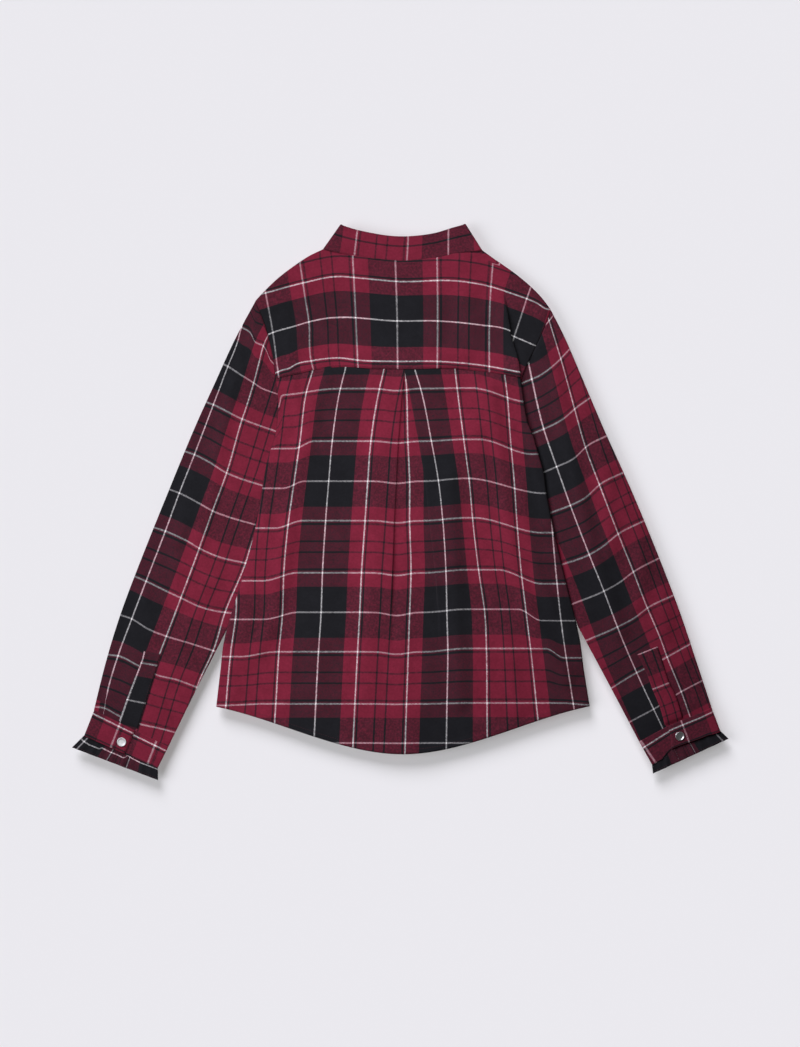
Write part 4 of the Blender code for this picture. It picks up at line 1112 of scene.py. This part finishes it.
def makeSleeve(k):
    atLeft = k == "left"
    top = np.vstack([armhole[k], smoothLine(outline["underarm"][k])[1:]])
    corners = [np.array(c) for c in cuffCorners[k]]
    off = (corners[0] - corners[2]) / np.hypot(*(corners[0] - corners[2])) * layers["gap"]
    end = np.array([corners[0] + off, corners[1] + off])
    outer = np.vstack([top[:1], sleeveEdges[k][0][1:-1], end[:1]])
    inner = np.vstack([top[-1:], sleeveEdges[k][1][1:-1], end[1:]])
    sheet = coons(top, end, outer, inner) if atLeft else coons(top[::-1], end[::-1], inner, outer)
    edgeRoll = layers["sleeveEdge"]
    share, part, angle = tubeColumns(np.linspace(0.0, 1.0, sleeve["upper"] + 1),
                                     np.linspace(1.0, 0.0, sleeve["lower"] + 1))

    def place(column, row):
        t = row / sleeve["rows"]
        a, b = sheet(np.zeros(len(t)), t), sheet(np.ones(len(t)), t)
        width = np.hypot(*(b - a).T)
        roll = edgeRoll / width
        p = sheet(mix(roll, 1.0 - roll, share[column]), t)
        kind, turn = part[column], angle[column]
        way = np.where(kind == "end", 1.0, -1.0)[:, None] * (b - a) / width[:, None]
        bent = np.isin(kind, ("end", "start"))
        z = np.select([kind == "top", bent], [sleeveTop(p, k), edgeRoll * (1.0 + np.sin(turn))], 0.0)
        p = np.where(bent[:, None], p + way * (edgeRoll * np.cos(turn))[:, None], p)
        # the end goes into the cuff, between its layers
        beyond = awayFrom(p, end) - cuff["margin"][k]
        inCuff = 1.0 - ease((beyond + 2.6) / 2.0)
        z += np.where(kind == "under", (cuff["wall"] + 0.1) * (1.0 - ease((beyond - 0.5) / 3.0)), 0.0)
        middle = mix(a, b, 0.5)
        u = plaidAcross(p, sleeveWarps[k])
        if atLeft:
            (start, final), before, after = sleeve["tuck"]
            u = mix(u, np.interp(u, before, after), ease((start - p[:, 1]) / (start - final)))
        # below, the plaid runs on from the edge that has no seam
        edgeU = plaidAcross(a if atLeft else b, sleeveWarps[k])
        u = np.where(kind == "under", 2.0 * edgeU - u, u)
        v = plaidDown(p, sleeveWefts[k])
        p = p + (middle - p) * (2.0 * cuff["wall"] / width * inCuff)[:, None]
        return np.column_stack([p, z]), np.column_stack([u, v])

    return clothPiece("sleeveTube_" + k, len(share) - 1, sleeve["rows"], place, offset=-1.0, closed=True)


sleevePieces = {k: makeSleeve(k) for k in sides}

bandCloth = {"columns": 16, "rows": 60, "above": 0.1, "rise": 0.45, "rim": 1.4, "sunk": 1.3}
# bands on the slits: their left and right edges from the top down, the plaid at the upper left
# corner, and how much cloth there is to each mm across and along
slitBands = {
    "left": {
        "left": ((-288.1, -168), (-291.6, -180.7), (-307.4, -221.7), (-317, -248.6)),
        "right": ((-269.6, -171.2), (-277.2, -196.4), (-286.3, -226.1), (-296.6, -258.2)),
        "plaid": (-0.9, -57.6), "scale": (1, 1), "lean": 5.2,
    },
    "right": {
        "left": ((267, -171.4), (278.2, -195.5), (283.9, -211), (292.2, -231.2), (298.6, -254.5)),
        "right": ((289, -162.6), (294, -178), (301.8, -202), (309.6, -217.5), (318.6, -247)),
        "plaid": (61.8, -0.3), "scale": (1.05, 1.05), "lean": 0,
    },
}


def makeSlitBand(k):
    left, right = (smoothLine(slitBands[k][edge]) for edge in sides)
    sheet = coons(np.array([left[0], right[0]]), np.array([left[-1], right[-1]]), left, right)
    (u0, v0), (acrossScale, downScale) = slitBands[k]["plaid"], slitBands[k]["scale"]
    columns, rows = bandCloth["columns"], bandCloth["rows"]
    width = np.hypot(*(right[0] - left[0]))
    long = np.hypot(*np.diff(left, axis=0).T).sum()

    def place(column, row):
        s, t = column / columns, row / rows
        p = sheet(s, t)
        rim = np.minimum(np.minimum(s, 1 - s) * width, t * long)
        inCuff = ease((t * long - long + cuff["margin"][k] + 1.5) / 2.0)
        z = sleeveTop(p, k) + bandCloth["above"] + bandCloth["rise"] * ease(rim / bandCloth["rim"])
        z = z - bandCloth["sunk"] * inCuff
        down = v0 + t * long * downScale + slitBands[k]["lean"] * s * t
        return np.column_stack([p, z]), np.column_stack([u0 + s * width * acrossScale, down])

    return clothPiece("slitBand_" + k, columns, rows, place, offset=1.0)


bandPieces = {k: makeSlitBand(k) for k in sides}


def makeCuff(k):
    corners = [np.array(c) for c in cuffCorners[k]]
    levels = {"top": 3.0 * cuff["ply"] + 2.0 * layers["gap"], "under": 0.0,
              "upper": 2.0 * cuff["ply"] + layers["gap"]}
    overlap = cuff["overlap"][k]
    lapping, beneath = cuff["columns"]
    ring = [("top", f) for f in np.linspace(overlap, 0.0, lapping)]
    ring += [("outer", turn) for turn in cuffTurns]
    ring += [("under", f) for f in np.linspace(0.0, 1.0, beneath)]
    ring += [("inner", turn) for turn in cuffTurns[::-1]]
    ring += [("upper", f) for f in np.linspace(1.0, overlap - cuff["underlap"], lapping)]
    if k == "left":
        ring = ring[::-1]
    rows = cuff["rows"]
    plaidTable = {part: np.array(rowsOf) for part, rowsOf in cuff["plaid"][k].items()}
    big, small = 0.5 * levels["top"], 0.5 * levels["upper"]
    up = upFrom(*corners[:2])
    high = np.hypot(*(corners[0] - corners[2]))
    waist = np.array(cuff["waist"][k])

    def at(part, f, row):
        t = mix(-cuff["margin"][k] / high, 1.0, row / rows)
        a, b = mix(corners[0], corners[2], t[:, None]), mix(corners[1], corners[3], t[:, None])
        width = np.hypot(*(b - a).T)
        way = (b - a) / width[:, None]
        innerA, innerB = a + way * big, b - way * small
        layer = "upper" if part in ("upper", "inner") else "top"
        if part == "outer":
            p = innerA - way * big * math.cos(f)
            z = np.full(len(t), big * (1.0 + math.sin(f)))
            across = np.zeros(len(t))
        elif part == "inner":
            p = innerB + way * small * math.cos(f)
            z = np.full(len(t), small * (1.0 + math.sin(f)))
            across = width
        else:
            reach = f * (1.0 + (cuff["lapSlant"][k] if part == "top" else 0.0) * t)
            p = mix(innerA, innerB, reach[:, None])
            z = np.full(len(t), levels[part])
            across = reach * width
            if part != "under":
                lower = np.interp(reach, waist[:, 0], waist[:, 1]) * np.maximum(t, 0.0) ** 2
                nearLap = max(0.0, 1.0 - abs(f - overlap) / 0.45)
                upper = cuff["bend"][k] * nearLap * np.minimum(1.0 - t, 1.0) ** 2
                p = p + up * lower[:, None] + up * upper[:, None]
            if part == "top":   # the lapping end is pressed to the one under it at its rim
                z -= cuff["pressed"] * (1.0 - ease((overlap - f) * width / 2.5))
        table = plaidTable[layer]
        lean = cuff["slant"][k] * t if layer == "upper" else 0.0
        u = np.interp(across + lean, table[:, 0], table[:, 1])
        v = sett["line"] - cuff["lineAt"][k][layer] + 26.0 * t
        if layer == "upper":
            v = v - cuff["droop"][k] * ease((across - 50.0) / 45.0)
        return np.column_stack([p, z]), np.column_stack([u, v])

    return clothPiece("cuffBand_" + k, len(ring) - 1, rows, byColumn(ring, at), cuff["wall"], -1.0,
                      crosswise=True)


cuffPieces = {k: makeCuff(k) for k in sides}

frill = {
    "columns": 150,
    "rows": 18,
    "tuck": 0.8,           # how far its root goes into the cuff
    "free": {"left": ((-369.2, -276), (-272.4, -312.8)), "right": ((369.2, -266.2), (284.2, -305.4))},
    "rise": 2.2,
    "under": 0.8,
    # middle of each gather along the frill, half width, height and how far it leans
    "gathers": {
        "left": ((0.07, 0.05, 0.8, 0.01), (0.19, 0.045, 1, 0.02), (0.30, 0.05, 0.7, -0.01),
                 (0.42, 0.06, 0.9, 0.02), (0.555, 0.045, 1, 0.03), (0.68, 0.05, 0.6, -0.02),
                 (0.80, 0.05, 0.8, 0.01), (0.92, 0.045, 0.7, -0.01)),
        "right": ((0.08, 0.05, 0.7, 0.01), (0.20, 0.05, 0.9, -0.02), (0.31, 0.045, 1, 0.02),
                  (0.43, 0.05, 0.8, -0.01), (0.55, 0.055, 1, 0.02), (0.69, 0.05, 0.7, -0.02),
                  (0.81, 0.05, 0.9, 0.01), (0.93, 0.045, 0.6, 0.01)),
    },
    # place along the frill from its left end, and the plaid there
    "across": {
        "left": ((0, -4), (0.045, 0), (0.29, 28.7), (0.40, 44.4), (0.63, 102.4), (0.77, 118.1), (1, 140)),
        "right": ((0, 2.5), (0.24, 28.7), (0.35, 40), (0.3501, 52), (0.45, 64.5), (0.57, 102.4),
                  (0.62, 118.1), (0.94, 146.8), (1, 153)),
    },
    # how far below the seam the white line along the frill runs
    "line": {
        "left": ((0, 5), (0.02, 6), (0.124, 7.8), (0.256, 7.6), (0.262, 5.1), (0.379, 5.9), (0.476, 5.7),
                 (0.55, 6.4), (0.578, 4.7), (0.591, 0.5), (0.655, 1.7), (0.777, 3), (1, 1.6)),
        "right": ((0, -3), (1, -3)),
    },
}


def makeFrill(k):
    roots = [np.array(c) for c in cuffCorners[k][2:]]
    free = [np.array(c) for c in frill["free"][k]]
    down = roots[0] - np.array(cuffCorners[k][0])
    down = down / np.hypot(*down)
    roots = [r - frill["tuck"] * down for r in roots]
    if k == "right":
        roots, free = roots[::-1], free[::-1]
    up = upFrom(*free)
    waist = np.array(cuff["waist"][k])
    edgeRoll = layers["sleeveEdge"]
    upper = np.linspace(0.0, 1.0, frill["columns"] + 1)
    share, part, angle = tubeColumns(upper, upper[::-1])
    rows = frill["rows"]
    long = np.hypot(*(free[0] - roots[0]))
    acrossTable, lineTable = (np.array(frill[key][k]) for key in ("across", "line"))

    def place(column, row):
        t = (row / rows)[:, None]
        a, b = mix(roots[0], free[0], t), mix(roots[1], free[1], t)
        width = np.hypot(*(b - a).T)[:, None]
        way = (b - a) / width
        a, b = a + way * edgeRoll, b - way * edgeRoll
        f, kind, turn = share[column], part[column], angle[column]
        p = mix(a, b, f[:, None])
        lower = np.interp(1.0 - f if k == "right" else f, waist[:, 0], waist[:, 1])
        p = p + up * (np.where(kind == "top", lower, 0.0) * (1.0 - t[:, 0]))[:, None]
        out = np.where(kind == "end", 1.0, -1.0)[:, None] * way
        bent = np.isin(kind, ("end", "start"))
        p = np.where(bent[:, None], p + out * (edgeRoll * np.cos(turn))[:, None], p)
        t = t[:, 0]
        wave = np.zeros(len(t))
        for middle, half, height, lean in frill["gathers"][k]:
            off = (f - middle - lean * t) / (half * (0.55 + 0.45 * t))
            wave = wave + height * np.exp(-1.4 * off ** 2)
        grow = 0.35 * np.sqrt(t) + 0.65 * t
        ends = ease(f / 0.05) * ease((1.0 - f) / 0.05)
        z = np.select([kind == "top", bent],
                      [sleeveThick + frill["rise"] * wave * grow * ends, edgeRoll * (1.0 + np.sin(turn))],
                      frill["under"] * wave * t * ends)
        z = np.where((row == 0) & (kind == "under"), cuff["wall"] + 0.1, z)
        u = np.interp(f, acrossTable[:, 0], acrossTable[:, 1])
        u = np.where(kind == "under", 2.0 * acrossTable[-1, 1] - u, u)
        v = t * long - frill["tuck"] - np.interp(f, lineTable[:, 0], lineTable[:, 1])
        return np.column_stack([p, z]), np.column_stack([u, v])

    return clothPiece("cuffFrill_" + k, len(share) - 1, rows, place, offset=-1.0, closed=True,
                      crosswise=True)


frillPieces = {k: makeFrill(k) for k in sides}

fronts = {
    "columns": 46, "rows": 90, "edgeIn": 2.6,
    # path, half width, height of the creases that stand up from the ground
    "creases": (
        (((-62, 176), (-82, 118), (-94, 40), (-90, -34)), 11, 1.1),
        (((-38, 64), (-46, -30), (-42, -118), (-54, -208)), 9, 0.8),
        (((-118, -44), (-130, -108), (-150, -176)), 8, 0.7),
        (((48, 162), (66, 90), (72, 4)), 10, 0.9),
        (((94, 44), (108, -50), (126, -138), (142, -196)), 10, 1.1),
        (((42, -58), (47, -140), (42, -226)), 8, 0.7),
    ),
    "plaidAt": (73.4, 23.4),
    "wander": (2.4, 150),    # how far the plaid strays from straight lines, and over what length
    "bandColumns": 10, "bandRows": 80,
}


def frontPlaid(p):
    size, length = fronts["wander"]
    across, down = fronts["plaidAt"]
    u = p[:, 0] - layers["centreX"] + across + size * ripple(p, length, 31)
    return np.column_stack([u, down - p[:, 1] + size * ripple(p, length, 47)])


def makeFront(k):
    way = 1.0 if k == "right" else -1.0
    gap = layers["gap"]
    bandEdge = layers["centreX"] + way * (layers["bandHalf"] + gap)
    neck = movedIn(smoothLine(outline["frontNeck"][k]), 0.75 * gap * way)[::-1]
    neck[0] = (bandEdge, outline["frontNeck"][k][-1][1] - 0.5 * gap)
    inset = fronts["edgeIn"]
    shoulderLine = movedIn(shoulder[k], -way * 1.8)
    shoulderLine[0] = neck[-1] + (0.0, -0.3)
    outer = np.vstack([movedIn(armhole[k], -way * 0.05), movedIn(side[k], -way * inset)[2:]])
    top = np.vstack([neck, shoulderLine[1:-1], outer[:1]])
    inHem = (frontHem[:, 0] - bandEdge) * way > 4.0
    half = frontHem[inHem] if way > 0 else frontHem[inHem][::-1]
    middle = frontHem[np.abs(frontHem[:, 0] - bandEdge).argmin(), 1]
    hem = np.vstack([[(bandEdge, middle)], half[:-1], outer[-1:]])
    inner = np.array([top[0], hem[0]])
    sheet = coons(top, hem, inner, outer) if way > 0 else coons(top[::-1], hem[::-1], outer, inner)
    columns, rows = fronts["columns"], fronts["rows"]

    def place(column, row):
        p = sheet(column / columns, (row / rows) ** 1.5)
        away = awayFrom(p, bodyEdges[k])
        z = frontFloor(p) + creaseRise(p, fronts["creases"]) * ease(away / layers["creaseFade"])
        return np.column_stack([p, z]), frontPlaid(p)

    return clothPiece("frontHalf_" + k, columns, rows, place, offset=1.0)


frontPieces = {k: makeFront(k) for k in sides}


def makeFrontBand():
    top = outline["frontNeck"]["left"][-1][1] - layers["gap"]
    bottom = frontHem[len(frontHem) // 2, 1]
    columns, rows = fronts["bandColumns"], fronts["bandRows"]

    def place(column, row):
        x = layers["centreX"] + layers["bandHalf"] * (2.0 * column / columns - 1.0)
        y = mix(top, bottom, row / rows)
        p = np.column_stack([x, y])
        return np.column_stack([p, np.full(len(x), layers["bandLift"])]), frontPlaid(p)

    return clothPiece("frontBand", columns, rows, place, layers["ply"], 1.0)


frontBandPiece = makeFrontBand()

# the frame's nodes that the pieces stand for
dressed = (
    (back, "back_panel"), (yokePiece, "back_yoke"), (collarPiece, "collar_band"),
    (frontBandPiece, "front_placket"),
    *((frontPieces[k], "front_" + k) for k in sides),
    *((sleevePieces[k], "sleeve_" + k) for k in sides),
    *((bandPieces[k], "sleeve_placket_" + k) for k in sides),
    *((cuffPieces[k], "cuff_" + k) for k in sides),
    *((frillPieces[k], "cuff_ruffle_" + k) for k in sides),
)
# what each piece was cut to, all round where it is a tube: width and length in mm, the share of
# that which the cut fills, how it is held and what it lies on
cuts = {
    "back_panel": (424, 437, 0.82, "laid", ("front_left", "front_right", "front_placket")),
    "back_yoke": (334, 148, 0.79, "laid", ("front_left", "front_right", "back_panel")),
    "collar_band": (442, 35, 0.75, "folded", ("front_placket",)),
    "front_placket": (24, 486, 1, "laid", ()),
    "front": (213, 561, 0.65, "laid", ("sleeve_left", "sleeve_right")),
    "sleeve": (284, 504, 0.73, "folded", ()),
    "sleeve_placket": (23, 91, 0.89, "laid", ("sleeve_left", "sleeve_right")),
    "cuff": (205, 31, 0.92, "folded", ("sleeve_left", "sleeve_right")),
    "cuff_ruffle_left": (213, 20, 0.73, "gathered", ()),
    "cuff_ruffle_right": (194, 17, 0.72, "gathered", ()),
}
for piece, node in dressed:
    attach(piece, "root")
    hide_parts(node)
    width, length, filled, held, below = cuts[node if node in cuts else node.rsplit("_", 1)[0]]
    ending = node.rsplit("_", 1)[-1]
    below = [name for name in below if ending not in sides or name.endswith(ending)]

# snaps: a rolled rim round a shallow dish, pressed from sheet
snap = {
    # radius and height from the middle of the dish over the rim to the middle of the underside
    "cuffCap": ((0, 0.62), (1.6, 0.65), (2.9, 0.78), (3.7, 1.08), (4.15, 1.42), (4.5, 1.6), (4.85, 1.55),
                (5.08, 1.3), (5.15, 0.95), (5.05, 0.5), (4.8, 0.15), (4.4, 0), (0, 0)),
    "frontCap": ((0, 0.25), (1.6, 0.22), (3, 0.2), (3.9, 0.1), (4.4, 0), (4.85, 0.1), (5.1, 0.45),
                 (5.15, 0.8), (5, 1.1), (4.7, 1.2), (0, 1.2)),
    "level": 4.85,         # of the cuffs' caps
    "tilt": {"left": 0, "right": 6},
    "tiltAxis": (0.62, 0.78, 0),
    "steps": 40,
    "colour": (0.80, 0.81, 0.82),
    "roughness": {"left": 0.55, "right": 0.30},
    "metallic": {"left": 0.45, "right": 1},
}


def makeMetal(name, roughness, metallic):
    material = bpy.data.materials.new(name)
    nodes = Nodes(material)
    spot = nodes.new("ShaderNodeTexCoord").outputs["Object"]
    wear = nodes.noise(spot, 1400.0, 4.0)
    nodes.link(nodes.blend(wear, tuple(0.9 * c for c in snap["colour"]), snap["colour"]),
               nodes.shader.inputs["Base Color"])
    nodes.bump(wear, 0.06, 0.0001)
    nodes.surface(Metallic=metallic, Roughness=roughness)
    return material


metals = {k: makeMetal(k + "SnapMetal", snap["roughness"][k], snap["metallic"][k]) for k in sides}


def makeSnap(name, node, profile, level, tilt, metal):
    bm = bmesh.new()
    corners = [bm.verts.new((radius * mm, 0.0, z * mm)) for radius, z in profile]
    edges = [bm.edges.new(pair) for pair in zip(corners, corners[1:])]
    bmesh.ops.spin(bm, geom=corners + edges, cent=(0, 0, 0), axis=(0, 0, 1), angle=math.tau,
                   steps=snap["steps"], use_merge=True)
    bmesh.ops.remove_doubles(bm, verts=bm.verts, dist=0.000001)
    bmesh.ops.recalc_face_normals(bm, faces=bm.faces)
    lean = Matrix.Rotation(math.radians(tilt), 3, snap["tiltAxis"])
    bmesh.ops.rotate(bm, verts=bm.verts, cent=(0, 0, 0), matrix=lean)
    bmesh.ops.translate(bm, verts=bm.verts, vec=(*boxCentre(node), level * mm))
    piece = placed(name, bm, metal)
    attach(piece, "root")
    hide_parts(node)


for k in sides:
    makeSnap("cuffSnap_" + k, "cuff_snap_" + k, snap["cuffCap"], snap["level"], snap["tilt"][k], metals[k])
for number in range(1, 8):
    makeSnap("frontSnap_%d" % number, "front_snap_%d" % number, snap["frontCap"], 0.0, 0.0, metals["left"])
print("snaps made")

# sewing: rows of stitches that lie on the cloth, each one sunk into it at its ends
sewing = {
    "pitch": 2.7,
    "length": 1.9,
    "half": 0.19,
    "thread": (0.085, 0.022, 0.034),
    "fromSeam": 1.9,
    "fromEdge": 1.7,
    "roundSnap": 7.6,      # half the side of the square sewn round a cuff's snap
    "onBand": 1.4,         # how far in from the edges of the bands on the slits
    "sunk": 0.35,
}


def stitchPaths():
    near, edge = sewing["fromSeam"], sewing["fromEdge"]
    neck = smoothLine(outline["neckSeam"])
    top = smoothLine(outline["collarTop"])
    paths = [sewnSeam + (0.0, near), movedIn(hemLine, backPanel["hem"] - 0.8), neck[4:-4] + (0.0, near),
             top[4:-4] - (0.0, 2.2)]
    for k in sides:
        corners = [np.array(c) for c in cuffCorners[k]]
        across, down = corners[1] - corners[0], corners[2] - corners[0]
        across, down = across / np.hypot(*across), down / np.hypot(*down)
        lap = cuff["overlap"][k]
        bend = upFrom(*corners[:2]) * cuff["bend"][k]

        def cuffRow(end, first, last):
            inset = down * (cuff["margin"][k] - edge if end == 0 else edge)
            return [mix(corners[end], corners[end + 1], f) - inset for f in (first, last)]

        upper, lower = cuffRow(0, 0.03, lap - 0.02), cuffRow(2, 0.03, lap - 0.02)
        rest = cuffRow(0, lap + 0.03, 0.97)
        upper[1], rest[0] = upper[1] + bend, rest[0] + bend
        paths += [np.array(upper + lower[::-1]), np.array(rest), np.array(cuffRow(2, lap + 0.03, 0.97))]
        centre = np.array(boxCentre("cuff_snap_" + k)) / mm
        square = [(across * x + down * y) * sewing["roundSnap"]
                  for x, y in ((-1, -1), (1, -1), (1, 1), (-1, 1), (-1, -1))]
        paths.append(centre + np.array(square))
        inset = (sewing["onBand"], 0.0)
        left, right = smoothLine(slitBands[k]["left"]) + inset, smoothLine(slitBands[k]["right"]) - inset
        paths.append(np.vstack([left[:-6][::-1], left[0] - (0.0, 1.3), right[0] - (0.0, 1.3), right[:-6]]))
        free = [np.array(c) for c in frill["free"][k]]
        paths.append(np.array([mix(free[0], free[1], f) - down * edge for f in (0.02, 0.98)]))
    return paths


def makeSewing():
    bpy.context.view_layer.update()
    graph = bpy.context.evaluated_depsgraph_get()
    spots, faces = [], []
    for piece, _ in dressed:
        shown = piece.evaluated_get(graph)
        mesh = shown.to_mesh()
        start = len(spots)
        spots += [corner.co.copy() for corner in mesh.vertices]
        faces += [[start + i for i in face.vertices] for face in mesh.polygons]
        shown.to_mesh_clear()
    tree = BVHTree.FromPolygons(spots, faces)
    bm = bmesh.new()
    count = 0
    half, sunk = sewing["half"], sewing["sunk"]
    for path in stitchPaths():
        long = np.hypot(*np.diff(path, axis=0).T).sum()
        number = max(2, int(long / sewing["pitch"]))
        for k in range(number):
            shares = (k + np.array([0.0, 0.2, 0.8, 1.0]) * sewing["length"] / sewing["pitch"]) / number
            spots = along(path, shares)
            way = spots[-1] - spots[0]
            beside = np.array([-way[1], way[0]]) / max(np.hypot(*way), 1e-6) * half
            hits = [tree.ray_cast(Vector((x * mm, y * mm, 0.05)), Vector((0.0, 0.0, -1.0)))[0]
                    for x, y in spots]
            if None in hits:
                continue
            rings = []
            for (x, y), hit, sink in zip(spots, hits, (-sunk, 0.1, 0.1, -sunk)):
                z = hit.z / mm + sink
                ring = [(x + beside[0], y + beside[1], z), (x, y, z + half * 0.9),
                        (x - beside[0], y - beside[1], z), (x, y, z - half * 0.9)]
                rings.append([bm.verts.new([c * mm for c in corner]) for corner in ring])
            for first, second in zip(rings, rings[1:]):
                for j in range(4):
                    bm.faces.new((first[j], first[(j + 1) % 4], second[(j + 1) % 4], second[j]))
            bm.faces.new(rings[0][::-1])
            bm.faces.new(rings[-1])
            count += 1
    bmesh.ops.recalc_face_normals(bm, faces=bm.faces)
    thread = bpy.data.materials.new("sewingThread")
    nodes = Nodes(thread)
    spot = nodes.new("ShaderNodeTexCoord").outputs["Object"]
    twist = nodes.noise(spot, 3000.0, 2.0)
    nodes.link(nodes.blend(twist, tuple(0.7 * c for c in sewing["thread"]), sewing["thread"]),
               nodes.shader.inputs["Base Color"])
    nodes.surface(Roughness=0.7, Specular_IOR_Level=0.2)
    piece = placed("seamStitches", bm, thread)
    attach(piece, "root")
    print("stitches:", count)


makeSewing()

# floor, light and camera
studio = {
    "floor": (0.834, 0.834, 0.834, 1),
    "floorSize": 4,
    "below": 9.5,          # how far under the shirt the floor is, for the soft shadow's width
    "sky": 0.07,
    # name, strength, colour, size, height and direction in degrees, whether it casts a shadow, and
    # what it lights
    "suns": (
        ("floorKey", 2.3, (0.99, 0.97, 1.05), 31, 34.5, 111, True, "floor"),
        ("floorSide", 1, (0.99, 0.97, 1.05), 40, 40, 186, True, "floor"),
        ("floorFill", 0.97, (1, 1, 1), 20, 90, 118, False, "floor"),
        ("shirtKey", 2.02, (1, 0.97, 1.05), 38, 36, 140, True, "shirt"),
    ),
    # a long soft box over the shirt's left half: strength, sides, middle and degrees it is turned
    "softBox": (1.56, (0.2, 1), (-0.065, 0.06, 0.42), -28),
    "cameraHeight": 6,
    "viewHeight": 1.178,
    "viewCentre": (-0.0003, -0.0242),
}
bm = bmesh.new()
bmesh.ops.create_grid(bm, x_segments=1, y_segments=1, size=studio["floorSize"])
bmesh.ops.translate(bm, verts=bm.verts, vec=(0.0, 0.0, -studio["below"] * mm))
paper = bpy.data.materials.new("paleFloor")
paper.use_nodes = True
paperShader = paper.node_tree.nodes["Principled BSDF"]
paperShader.inputs["Base Color"].default_value = studio["floor"]
paperShader.inputs["Roughness"].default_value = 0.9
paperShader.inputs["Specular IOR Level"].default_value = 0.0
ground = placed("floor", bm, paper)

scene = bpy.context.scene
scene.view_settings.view_transform = "Standard"
world = bpy.data.worlds.new("softRoom")
world.use_nodes = True
world.node_tree.nodes["Background"].inputs[0].default_value = (1.0, 1.0, 1.0, 1.0)
world.node_tree.nodes["Background"].inputs[1].default_value = studio["sky"]
scene.world = world
lit = {name: bpy.data.collections.new(name + "Lit") for name in ("floor", "shirt")}
for piece in scene.objects:
    if piece.type == "MESH":
        lit["floor" if piece == ground else "shirt"].objects.link(piece)


def makeLamp(name, kind, strength, colour, shadow, target):
    lamp = bpy.data.lights.new(name, kind)
    lamp.energy = strength
    lamp.color = colour
    lamp.use_shadow = shadow
    holder = bpy.data.objects.new(name, lamp)
    holder.light_linking.receiver_collection = lit[target]
    scene.collection.objects.link(holder)
    return lamp, holder


for name, strength, colour, size, height, direction, shadow, target in studio["suns"]:
    lamp, holder = makeLamp(name, "SUN", strength, colour, shadow, target)
    lamp.angle = math.radians(size)
    turn, lift = math.radians(direction), math.radians(height)
    towards = Vector((math.cos(turn) * math.cos(lift), math.sin(turn) * math.cos(lift), math.sin(lift)))
    holder.rotation_euler = towards.to_track_quat("Z", "Y").to_euler()
strength, boxSides, middle, turn = studio["softBox"]
lamp, holder = makeLamp("softBox", "AREA", strength, (1.0, 1.0, 1.0), True, "shirt")
lamp.shape = "RECTANGLE"
lamp.size, lamp.size_y = boxSides
holder.location = middle
holder.rotation_euler = (0.0, 0.0, math.radians(turn))
holder.visible_camera = False

camera = bpy.data.cameras.new("fromAbove")
camera.sensor_fit = "VERTICAL"
camera.sensor_height = 36.0
camera.lens = 36.0 * studio["cameraHeight"] / studio["viewHeight"]
camera.clip_end = 20.0
cameraObject = bpy.data.objects.new("fromAbove", camera)
cameraObject.location = (*studio["viewCentre"], studio["cameraHeight"])
scene.collection.objects.link(cameraObject)
scene.camera = cameraObject
print("studio ready")
